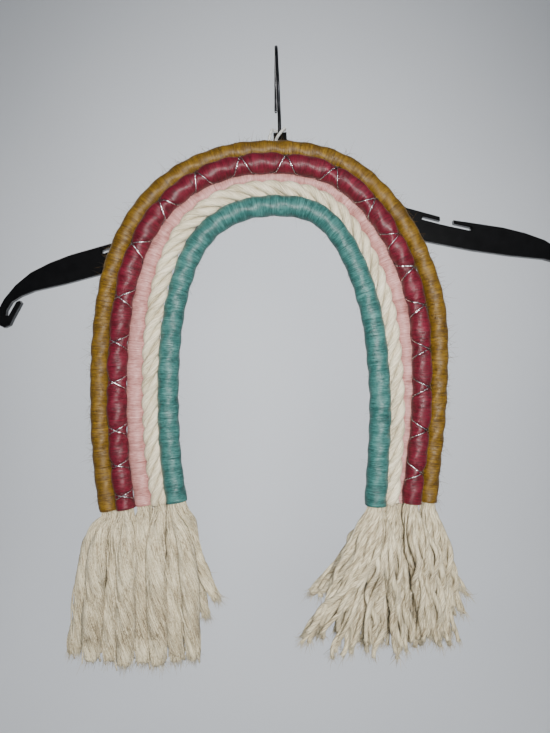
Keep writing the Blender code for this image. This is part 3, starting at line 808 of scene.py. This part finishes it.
# %% [markdown]
# ## Fuzz
#
# Wool and mohair leave loose fibres standing off the winding, most on the mustard rope. Hair particles would
# not survive the export, so each fibre is a thin three-sided tube that leaves the rope at a slant, mostly
# round it, and curls back.

# %% Loose fibres
FIBRE_RINGS = 3
FUZZ_SINK = 0.35
FUZZ_CURL = 0.35
FUZZ_SAG = 0.15
LEAN_AROUND = 0.8
LEAN_ALONG = 0.55
SHORTEST_SHARE = 0.25
LENGTH_POWER = 1.5

# How many fibres, the longest one, how far they lift off the rope, and their thickness (mm)
FUZZ = {
    "mustard":   (4200, 8.0, (0.2, 1.0), 0.11),
    "raspberry": (1500, 4.2, (0.15, 0.8), 0.08),
    "pink":      (1200, 3.6, (0.15, 0.8), 0.075),
    "teal":      (2000, 4.6, (0.2, 0.9), 0.08)}


def make_fibres(name, roots, aim, length, bend, thickness):
    """At share t of its length a fibre is at its root, plus t of its length along its aim, plus t squared
    of its length along its bend. Its radius shrinks evenly towards the tip."""
    share = np.linspace(0.0, 1.0, FIBRE_RINGS)
    aim = unit(aim)
    lines = roots[:, None] + length[:, None, None] * (share[None, :, None] * aim[:, None]
                                                      + share[None, :, None] ** 2 * bend[:, None])
    return make_tubes(name, lines, thickness * (1.0 - 0.8 * share)[None, :, None], even_turns(3)[None, None])


def rope_fuzz(name, rope, count, longest, lift, thickness, seed):
    """Fibres from random places all over a rope."""
    rng = np.random.default_rng(seed)
    walk = walks[rope]
    at = rng.uniform(1.0, walk["length"] - 1.0, count)
    turn = rng.uniform(0.0, 2.0 * math.pi, count)
    roots, normal = on_rope(walk, at, turn, np.interp(at, walk["at"], walk["radius"]) - FUZZ_SINK)
    tangent = read_along(at, walk["at"], walk["tangent"])
    around = np.cross(tangent, normal)
    aim = normal * rng.uniform(*lift, count)[:, None] \
        + around * rng.normal(0.0, LEAN_AROUND, count)[:, None] \
        + tangent * rng.normal(0.0, LEAN_ALONG, count)[:, None]
    bend = rng.normal(0.0, FUZZ_CURL, (count, 3)) - (0.0, 0.0, FUZZ_SAG)
    length = longest * rng.uniform(SHORTEST_SHARE, 1.0, count) ** LENGTH_POWER
    return make_fibres(name, roots, aim, length, bend, thickness)


for name, (count, longest, lift, thickness) in FUZZ.items():
    fuzz = rope_fuzz(name + "_fuzz", name, count, longest, lift, thickness, 100 + count)
    dress(fuzz, yarn_finishes[name], name + "_yarn")

# %% [markdown]
# ## Fringes
#
# Below the winding each rope end is combed out into locks of yarn. They could be dropped as a cloth or hair
# simulation, but their tips are known from the photograph, so each lock is led from the rope's end to its
# tip and the locks push each other aside as they fall, height by height. This is the CAD source's own rule,
# so every lock hangs where its solid does, but for four short tips, which lie 3 to 8 mm nearer to their
# neighbours here. On the left the locks are fat and keep their twist, and on the right they have come apart
# into single yarns.

# %% Tips of the locks: x, z, how far behind the rope, thickness
FRINGE_LEFT = {
    "mustard":   ((-144.0, -441.5, -5.0, 12.8), (-131.0, -443.5, -7.0, 12.8), (-135.0, -441.0, 8.0, 12.0)),
    "raspberry": ((-118.0, -444.0, -6.0, 12.8), (-106.5, -445.0, -7.0, 12.8), (-123.0, -441.0, 8.0, 12.0)),
    "pink":      ((-95.0, -446.5, -7.0, 12.8), (-99.0, -442.0, 8.0, 12.0), (-111.0, -442.0, 8.0, 12.0)),
    "cream":     ((-83.5, -446.0, -7.0, 12.8), (-75.0, -442.0, 8.0, 12.0), (-87.0, -441.0, 8.0, 12.0)),
    "teal":      ((-71.0, -443.5, -6.0, 12.0), (-60.0, -441.0, -3.0, 12.0), (-64.0, -438.0, 8.0, 10.0),
                  (-45.0, -402.0, 3.0, 7.5), (-53.5, -420.0, 9.0, 7.0))}
FRINGE_RIGHT = {
    "teal":      ((22.5, -425.0, -7.0, 7.4), (30.0, -403.0, 6.0, 7.0), (30.5, -431.0, -4.0, 8.0),
                  (41.5, -437.0, -9.0, 8.0), (53.0, -438.5, -6.0, 8.0), (87.0, -438.5, -12.0, 9.4)),
    "cream":     ((36.0, -431.0, 4.0, 7.6), (47.5, -436.5, 3.0, 7.6), (62.5, -438.5, -4.0, 8.0),
                  (72.0, -433.0, -9.0, 7.6), (69.0, -429.0, 6.0, 7.6)),
    "pink":      ((57.5, -434.0, 8.0, 7.6), (80.0, -438.5, -4.0, 8.0), (78.5, -435.0, 6.0, 7.6),
                  (97.5, -438.5, -9.0, 8.0), (90.0, -434.0, 7.0, 7.6)),
    "raspberry": ((101.5, -434.5, 5.0, 8.0), (107.5, -435.5, -6.0, 8.0), (99.0, -432.0, 13.0, 7.6),
                  (118.0, -432.5, -10.0, 8.0), (112.0, -431.0, 8.0, 7.6)),
    "mustard":   ((116.5, -431.5, 2.0, 7.6), (125.5, -432.0, -6.0, 9.0), (125.0, -429.0, 6.0, 7.6),
                  (135.5, -403.0, 2.0, 7.0), (130.5, -413.0, -5.0, 7.0), (127.0, -422.0, 11.0, 7.0))}

# %% Roots of the locks
ROOT_HEIGHT = 5.0
ROOT_INSET = 0.72


def root_plug(middle, down, radius, locks):
    """The low end of the rope's core, and a shrunk kite on it for each lock."""
    across = unit(np.cross((0.0, 1.0, 0.0), down))
    back = np.cross(across, down)
    corners = 2 * locks
    turn = even_turns(corners)
    rim = np.cos(turn)[:, None] * across + np.sin(turn)[:, None] * back
    if np.dot(np.cross(across, back), down) > 0.0:
        rim = rim[::-1]
    low = middle + down * (ROPE_GAP + ROOT_HEIGHT)
    lower = low + rim * radius
    kites = []
    for i in range(locks):
        kite = np.array([low, lower[(2 * i - 1) % corners], lower[2 * i], lower[(2 * i + 1) % corners]])
        kites.append(kite.mean(axis=0) + (kite - kite.mean(axis=0)) * ROOT_INSET)
    return low, kites


def pair_locks(kites, locks):
    """Gives each kite the lock that hangs on its own side, by comparing their order round the middle."""
    spots = np.array([kite.mean(axis=0)[:2] for kite in kites])
    spots = spots - spots.mean(axis=0)
    wishes = np.array([(lock[0], lock[2]) for lock in locks])
    wishes = (wishes - wishes.mean(axis=0)) / np.maximum(wishes.std(axis=0), 1e-6)
    by_turn = np.argsort(np.arctan2(spots[:, 1], spots[:, 0]), kind="stable")
    wish_turn = np.argsort(np.arctan2(wishes[:, 1], wishes[:, 0]), kind="stable")
    fits = [np.sum(spots[by_turn] * wishes[np.roll(wish_turn, shift)]) for shift in range(len(locks))]
    wish_turn = np.roll(wish_turn, int(np.argmax(fits)))
    return {int(k): locks[int(w)] for k, w in zip(by_turn, wish_turn)}


# %% Falling side by side
LOCK_LEVELS = (0.0, 0.09, 0.2, 0.33, 0.46, 0.6, 0.74, 0.88, 1.0)
LOCK_FATNESS = (0.0, 0.7, 0.95, 1.0, 1.0, 1.0, 1.0, 1.0, 0.82)
LOCK_SPREAD = {"left": 0.75, "right": 0.95}
KICK_ABOVE = -428.0
KICK_SPREAD = 1.5
LOCK_GAP = 0.8
LEVEL_SLACK = 7.0
NO_LOCK = -1000.0
PUSH_ROUNDS = 120
PUSH_SHARE = 0.35
FALL_STEPS = 5
AIM_PULL = 0.12
BACK_LIMIT = -25.0


def push_apart(spots, thick):
    """Moves round locks off each other at one height: each gap that is too small is widened by a share."""
    need = (thick[:, None] + thick[None]) / 2.0 + LOCK_GAP
    itself = np.arange(len(spots))
    for _ in range(PUSH_ROUNDS):
        apart = spots[:, None] - spots[None]
        distance = np.linalg.norm(apart, axis=2)
        push = np.clip(need - distance, 0.0, None) / np.maximum(distance, 1e-6)
        push[itself, itself] = 0.0
        spots = spots + PUSH_SHARE * np.sum(apart * push[..., None], axis=1)
        spots[:, 1] = np.minimum(spots[:, 1], BACK_LIMIT - thick / 2.0)
    return spots


def settle_locks(paths, thick):
    """Each height starts from the one above it, drawn towards its aim, and is pushed apart again."""
    settled = paths.copy()
    spots = paths[:, 0, :2]
    for level in range(1, paths.shape[1]):
        aim = paths[:, level, :2]
        drift = (aim - paths[:, level - 1, :2]) / FALL_STEPS
        for step in range(1, FALL_STEPS + 1):
            part_way = step / FALL_STEPS
            width = thick[:, level - 1] * (1.0 - part_way) + thick[:, level] * part_way
            width = np.where(thick[:, level] < 0.0, NO_LOCK, width)
            spots = push_apart(spots + drift + AIM_PULL * (aim - spots), width)
        settled[:, level, :2] = spots
    return settled


# %% One settled line for each lock
CORE_SINK = 8.0
CORE_PULL = 0.35
INWARD_BY = 0.35
START_WIDTH = {"left": 1.6, "right": 1.15}


def lock_lines(side, table):
    """For each rope: its locks' knots from inside the rope down to the tips, and their thickness there."""
    end = 0 if side == "left" else -1
    sign = -1.0 if side == "left" else 1.0
    roots = {}
    for name, locks in table.items():
        walk = walks[name]
        down = sign * walk["tangent"][end]
        core = walk["radius"][end] - ROPE_GAP
        roots[name] = (down, *root_plug(walk["points"][end], down, core, len(locks)))
    top = np.mean([low[2] for _, low, _ in roots.values()])
    bottom = min(lock[1] for locks in table.values() for lock in locks)
    heights = top + (bottom - top) * np.array(LOCK_LEVELS)
    number = np.arange(len(heights))
    paths, thick, last, owner = [], [], [], []
    for name, locks in table.items():
        down, low, kites = roots[name]
        target = pair_locks(kites, locks)
        for k, kite in enumerate(kites):
            tip_x, tip_z, behind, width = target[k]
            root = kite.mean(axis=0)
            root_width = 2.0 * np.min(np.linalg.norm(kite - root, axis=1))
            tip_level = int(np.argmax(heights <= tip_z + LEVEL_SLACK))
            z = np.where(number < tip_level, heights, tip_z)
            z[0] = root[2]
            fallen = (root[2] - z) / (root[2] - tip_z)
            spread = fallen ** (KICK_SPREAD if tip_z > KICK_ABOVE else LOCK_SPREAD[side])
            inward = np.sin(np.clip(fallen / INWARD_BY, 0.0, 1.0) * math.pi / 2.0)
            fatness = np.interp(fallen, LOCK_LEVELS, LOCK_FATNESS)
            x = root[0] + (tip_x - root[0]) * spread
            paths.append(np.stack([x, root[1] + behind * inward, z], axis=1))
            thick.append(np.where(number <= tip_level, root_width + (width - root_width) * fatness, NO_LOCK))
            last.append(tip_level)
            owner.append(name)
    paths = settle_locks(np.array(paths), np.array(thick))
    made = {name: [] for name in table}
    for lock, name in enumerate(owner):
        (down, low, _), radius = roots[name], walks[name]["radius"][end]
        knots = paths[lock, :last[lock] + 1]
        width = np.array(thick[lock][:last[lock] + 1])
        start = START_WIDTH[side] * radius / math.sqrt(len(table[name]))
        sunk = knots[0] + (low - knots[0]) * CORE_PULL - down * CORE_SINK
        made[name].append((np.vstack([sunk, knots]),
                           np.concatenate([[start, max(start, width[0])], width[1:]])))
    return made


left_locks = lock_lines("left", FRINGE_LEFT)
right_locks = lock_lines("right", FRINGE_RIGHT)
print("locks", sum(len(v) for v in left_locks.values()), sum(len(v) for v in right_locks.values()))

# %% Yarns of one lock
DENSE = 160
TURN_SPREAD = 0.12
WAVE_PACES = (1.2, 3.4)
FREE_FROM = 0.1
FREE_OVER = 0.25


def lock_course(knots, width):
    """A lock's middle line and its thickness, both read at many even steps."""
    chord = length_along(knots)
    return smooth_curve(knots, DENSE), np.interp(np.linspace(0.0, chord[-1], DENSE), chord, width)


def bundle(knots, width, yarns, rings, reach, twist, wave, ragged, rng, until=1.0):
    """Yarn lines in one lock: each keeps its share of the lock's thickness from the middle line and turns
    round it by twist radians a mm. Slow waves of its own move it a little. reach gives each yarn's share,
    and until is where on the lock the longest yarn ends."""
    course, thick = lock_course(knots, width)
    side, up = (axis[0] for axis in carried_frames(course[None]))
    dense = np.linspace(0.0, 1.0, DENSE)
    length = length_along(course)[-1]
    share = until * np.linspace(0.0, 1.0, rings)[None] * (1.0 - rng.uniform(0.0, ragged, yarns))[:, None]
    middle, side, up = (read_along(share, dense, field) for field in (course, side, up))
    turn = (even_turns(yarns) + rng.normal(0.0, TURN_SPREAD, yarns))[:, None] \
        + twist * share * length + rng.uniform(0.0, 6.0)
    half = np.interp(share, dense, thick) / 2.0
    offset = half * reach[:, None]
    lines = middle + offset[..., None] * (np.cos(turn)[..., None] * side + np.sin(turn)[..., None] * up)
    phase = rng.uniform(0.0, 2.0 * math.pi, (2, 3, yarns, 1))
    pace = rng.uniform(*WAVE_PACES, (2, 3, yarns, 1))
    waves = np.sin(2.0 * math.pi * pace * share[None, None] + phase).sum(axis=0)
    free = np.clip((share - FREE_FROM) / FREE_OVER, 0.0, 1.0)
    lines[..., 0] += wave * free * waves[0]
    lines[..., 1] += wave * free * waves[1]
    return lines, half


# %% Left fringes
LEFT_TWIST = -2.0 * math.pi / 120.0
LEFT_RINGS = 46
LEFT_SIDES = 52
LOCK_SWELL = ((0.0, 1.0), (0.15, 1.14), (0.85, 1.12), (1.0, 0.95))
LOCK_UNTIL = 0.98
LOCK_LOBES = ((3, 42.0, 1.0), (7, 24.0, 0.6))
LOCK_GROOVES = ((11, 32.0, 1.9), (19, 16.0, 0.7))
LOCK_SHIFT = 83.0
NOISE_ROWS = 256
STRAY_YARNS = 8
STRAY_RADIUS = 0.55
STRAY_REACH = (0.88, 1.16)
STRAY_SIZES = (0.5, 1.5)
STRAY_WAVE = 0.5
STRAY_RAGGED = 0.08


def cell_noise(turn, run, cells, pitch, seed):
    """Random heights from -1 to 1 at so many cells round a lock and every pitch along it, joined both ways
    by smooth steps: 3 u squared less 2 u cubed."""
    heights = np.random.default_rng(seed).uniform(-1.0, 1.0, (cells, NOISE_ROWS))
    round_it, along = turn / (2.0 * math.pi) * cells, run / pitch
    i, k = np.floor(round_it).astype(int), np.floor(along).astype(int)
    u, v = round_it - i, along - k
    u, v = u * u * (3.0 - 2.0 * u), v * v * (3.0 - 2.0 * v)
    row, next_row = k % NOISE_ROWS, (k + 1) % NOISE_ROWS
    near, far = (heights[cell % cells, row] * (1.0 - v) + heights[cell % cells, next_row] * v
                 for cell in (i, i + 1))
    return near * (1.0 - u) + far * u


def combed_radius(half, turn, run, seed):
    """Half the lock's thickness, plus slow lobes, less grooves: a groove is the third power of 1 less the
    size of a noise, so it is narrow and lies where that noise changes sign."""
    wound_back = turn - LEFT_TWIST * run
    height = half
    for number, (cells, pitch, relief) in enumerate(LOCK_LOBES):
        height = height + relief * cell_noise(wound_back, run, cells, pitch, seed + number)
    for number, (cells, pitch, relief) in enumerate(LOCK_GROOVES):
        noise_here = cell_noise(wound_back, run, cells, pitch, seed + 10 + number)
        height = height - relief * (1.0 - np.abs(noise_here)) ** 3
    return height


def left_fringe(name, locks, seed):
    """Fat combed locks, each one grooved grid, with finer yarns lying on it that end a little lower."""
    rng = np.random.default_rng(seed)
    courses, halves, yarn_lines, yarn_radii = [], [], [], []
    swell = np.interp(np.linspace(0.0, 1.0, LEFT_RINGS), *np.transpose(LOCK_SWELL))
    for knots, width in locks:
        line, half = bundle(knots, width, 1, LEFT_RINGS, np.zeros(1), 0.0, 0.0, 0.0, rng, LOCK_UNTIL)
        courses.append(line[0])
        halves.append(half[0] * swell)
        strays, _ = bundle(knots, width, STRAY_YARNS, LEFT_RINGS, rng.uniform(*STRAY_REACH, STRAY_YARNS),
                           LEFT_TWIST, STRAY_WAVE, STRAY_RAGGED, rng)
        yarn_lines.append(strays)
        yarn_radii.append(STRAY_RADIUS * rng.uniform(*STRAY_SIZES, (STRAY_YARNS, 1)) * np.ones(LEFT_RINGS))
    courses, halves = np.array(courses), np.array(halves)
    run = length_along(courses) + LOCK_SHIFT * np.arange(len(courses))[:, None]
    turn = even_turns(LEFT_SIDES)[None, None]
    radius = combed_radius(halves[..., None], turn, run[..., None], seed)
    piece = make_tubes("locks_left_" + name, courses, radius, turn, twist=-LEFT_TWIST)
    dress(piece, fringe_finish, "cream_cotton", "fringe_left_" + name)
    lines, radii = np.concatenate(yarn_lines), np.concatenate(yarn_radii)
    strays = make_tubes("yarns_left_" + name, lines, radii[..., None], even_turns(4)[None, None], twist=0.5)
    dress(strays, fringe_finish, "cream_cotton")
    return courses, halves, lines


left_yarns = {name: left_fringe(name, locks, 200 + 20 * k)
              for k, (name, locks) in enumerate(left_locks.items())}

# %% Right fringes
RIGHT_TWIST = 2.0 * math.pi / 130.0
RIGHT_RINGS = 40
RIGHT_WAVE = 1.5
RIGHT_RAGGED = 0.12
RIGHT_REACH = (0.55, 0.9)
MIDDLE_REACH = 0.1
YARN_RADIUS = 1.85
YARN_SIZES = (0.7, 1.2)
YARN_SHARE = 1.15
YARN_SLIM = ((0.0, 0.12, 0.3, 0.85, 1.0), (0.55, 0.7, 1.0, 1.0, 0.85))
BETWEEN_YARNS = 3


def between(locks):
    """Thinner locks that hang halfway between two that follow each other on a rope."""
    made = []
    for (knots, width), (next_knots, next_width) in zip(locks, locks[1:] + locks[:1]):
        both = slice(min(len(knots), len(next_knots)))
        made.append(((knots[both] + next_knots[both]) / 2.0, (width[both] + next_width[both]) / 2.0))
    return made


def right_fringe(name, locks, seed):
    """Thin locks that have come apart: soft yarns that wave and cross, some of them between two locks."""
    rng = np.random.default_rng(seed)
    slim = np.interp(np.linspace(0.0, 1.0, RIGHT_RINGS), *YARN_SLIM)
    yarn_lines, yarn_radii = [], []
    for number, (knots, width) in enumerate(locks + between(locks)):
        fitting = round(YARN_SHARE * (width.max() / 2.0 / YARN_RADIUS) ** 2)
        yarns = fitting if number < len(locks) else BETWEEN_YARNS
        reach = np.where(np.arange(yarns) == 0, MIDDLE_REACH, rng.uniform(*RIGHT_REACH, yarns))
        lines, _ = bundle(knots, width, yarns, RIGHT_RINGS, reach, RIGHT_TWIST, RIGHT_WAVE, RIGHT_RAGGED, rng)
        yarn_lines.append(lines)
        yarn_radii.append(YARN_RADIUS * slim[None] * rng.uniform(*YARN_SIZES, yarns)[:, None])
    lines = np.concatenate(yarn_lines)
    radii = np.concatenate(yarn_radii)
    piece = make_tubes("yarns_right_" + name, lines, radii[..., None], even_turns(8)[None, None], twist=-0.25)
    dress(piece, fringe_finish, "cream_cotton", "fringe_right_" + name)
    return lines


right_yarns = {name: right_fringe(name, locks, 300 + k)
               for k, (name, locks) in enumerate(right_locks.items())}


# %% Frayed ends and loose cotton
COTTON_FIBRE = 0.21
LOOSE_FIBRES = 400
LOOSE_LENGTHS = (2.5, 6.0)
LOOSE_FROM_RING = 8
LOOSE_SAG = 0.8
FIBRE_CURL = 0.22
BRUSH_FIBRES = 170
BRUSH_SINK = 5.0
BRUSH_FILL = 0.92
FRAY_FIBRES = 16
FRAY_SINK = 2.0
FRAY_SPREAD = 0.8


def fall_of(lines):
    """The direction in which each line ends."""
    return unit(lines[:, -1] - lines[:, -4])


def frayed(name, roots, fall, spray, lengths, lines, seed):
    """Fibres that spray from the cut ends, and some that stand off the lengths of the lines."""
    rng = np.random.default_rng(seed)
    aim = fall + rng.normal(0.0, spray, fall.shape)
    length = rng.uniform(*lengths, len(roots))
    pick = rng.integers(0, len(lines), LOOSE_FIBRES)
    ring = rng.integers(LOOSE_FROM_RING, lines.shape[1] - 2, LOOSE_FIBRES)
    stray = rng.normal(0.0, 1.0, (LOOSE_FIBRES, 3)) - (0.0, 0.0, LOOSE_SAG)
    roots = np.concatenate([roots, lines[pick, ring]])
    aim = np.concatenate([aim, stray])
    length = np.concatenate([length, rng.uniform(*LOOSE_LENGTHS, LOOSE_FIBRES)])
    bend = rng.normal(0.0, FIBRE_CURL, (len(roots), 3))
    piece = make_fibres(name, roots, aim, length, bend, COTTON_FIBRE)
    return dress(piece, fringe_finish, "cream_cotton")


brush_rng = np.random.default_rng(400)
tips = np.concatenate([part[0][:, -1] for part in left_yarns.values()])
tip_half = np.concatenate([part[1][:, -1] for part in left_yarns.values()])
tip_fall = np.concatenate([fall_of(part[0]) for part in left_yarns.values()])
tip_fall = np.repeat(tip_fall, BRUSH_FIBRES, axis=0)
disc_turn = brush_rng.uniform(0.0, 2.0 * math.pi, len(tip_fall))
disc_reach = np.repeat(tip_half, BRUSH_FIBRES) * np.sqrt(brush_rng.uniform(0.0, BRUSH_FILL, len(tip_fall)))
disc = disc_reach[:, None] * np.stack([np.cos(disc_turn), np.sin(disc_turn),
                                       np.zeros_like(disc_turn)], axis=1)
brush_roots = np.repeat(tips, BRUSH_FIBRES, axis=0) + disc - BRUSH_SINK * tip_fall
left_lines = np.concatenate([part[2] for part in left_yarns.values()])
frayed("fibres_left", brush_roots, tip_fall, 0.12, (5.5, 9.5), left_lines, 401)

right_lines = np.concatenate(list(right_yarns.values()))
fray_fall = np.repeat(fall_of(right_lines), FRAY_FIBRES, axis=0)
fray_roots = np.repeat(right_lines[:, -1], FRAY_FIBRES, axis=0) - FRAY_SINK * fray_fall \
    + np.random.default_rng(403).normal(0.0, FRAY_SPREAD, fray_fall.shape)
frayed("fibres_right", fray_roots, fray_fall, 0.30, (3.5, 8.0), right_lines, 402)

# %% [markdown]
# ## Loop, hook and hanger
#
# A thin string goes behind the outer rope and round the foot of the hook. It is two plies twisted together,
# so it is two tubes on one helix. The hook is bent wire, drawn as one smooth tube, and the hanger's moulded
# body keeps its CAD shape and gets a glossy plastic finish.

# %% String loop
LOOP_LINE = (
    (2.6, -24.8, -53.6), (-2.2, -27.8, -53.6), (-3.6, -32.6, -57.0), (-4.8, -34.2, -61.5),
    (-5.6, -35.4, -68.0), (-5.2, -36.2, -75.0), (-2.4, -36.5, -79.5), (0.4, -36.2, -75.0),
    (-0.2, -35.4, -68.0), (0.8, -34.3, -62.0), (2.6, -33.6, -59.0), (4.8, -32.9, -56.0),
    (6.6, -30.4, -53.4), (6.0, -26.6, -53.0))
PLY_OFFSET = 0.48
PLY_RADIUS = 0.70
PLY_LAY = 4.2
LOOP_RINGS = 240

loop_line = smooth_curve(LOOP_LINE, LOOP_RINGS, closed=True)
loop_line = np.vstack([loop_line, loop_line[:1]])
loop_run = length_along(loop_line)
loop_side, loop_up = carried_frames(loop_line[None])
ply_turn = (2.0 * math.pi * loop_run / PLY_LAY)[None] + even_turns(2)[:, None]
plies = loop_line[None] + PLY_OFFSET * (np.cos(ply_turn)[..., None] * loop_side
                                        + np.sin(ply_turn)[..., None] * loop_up)
string = make_tubes("loop_plies", plies, PLY_RADIUS, even_turns(8)[None, None], twist=1.2)
dress(string, string_finish, "loop_string", "hanging_loop")
print("string length", round(loop_run[-1], 1), "mm")

# %% Hook
HOOK_RADIUS = 1.4
HOOK_LINE = (
    (2.7, -27.5, -55.7), (2.5, -29.2, -46.0), (2.0, -29.8, -34.0), (1.5, -29.0, -21.0), (0.9, -27.0, -8.5),
    (0.4, -23.4, 4.5), (0.1, -14.4, 17.1), (0.0, 0.0, 21.9), (0.0, 14.4, 17.1), (0.0, 22.6, 6.0),
    (0.0, 24.4, -6.0), (0.0, 23.2, -17.0))
HOOK_RINGS = 150
TIP_RINGS = 1.5
TIP_BLUNT = 0.15

# The wire keeps its radius up to the last rings, where its section shrinks evenly to the blunt tip's
hook_line = smooth_curve(HOOK_LINE, HOOK_RINGS)
tip_share = np.clip((HOOK_RINGS - 1 - np.arange(HOOK_RINGS)) / TIP_RINGS, 0.0, 1.0)
hook_radius = HOOK_RADIUS * np.sqrt(TIP_BLUNT + (1.0 - TIP_BLUNT) * tip_share)
hook = make_tubes("hook_bent_wire", hook_line[None], hook_radius[None, :, None], even_turns(16)[None, None])
dress(hook, wire_reflection_finish, "hook_wire", "hanger_hook")

# %% Hanger body
hanger = frame["nodes"]["hanger_body"]
hanger.data.materials.clear()
hanger.data.materials.append(plastic_finish)
print("hanger finish set")
all_triangles = sum(triangles(ob) for ob in bpy.data.objects if ob.type == "MESH")
print("all pieces", all_triangles, "triangles with the CAD")
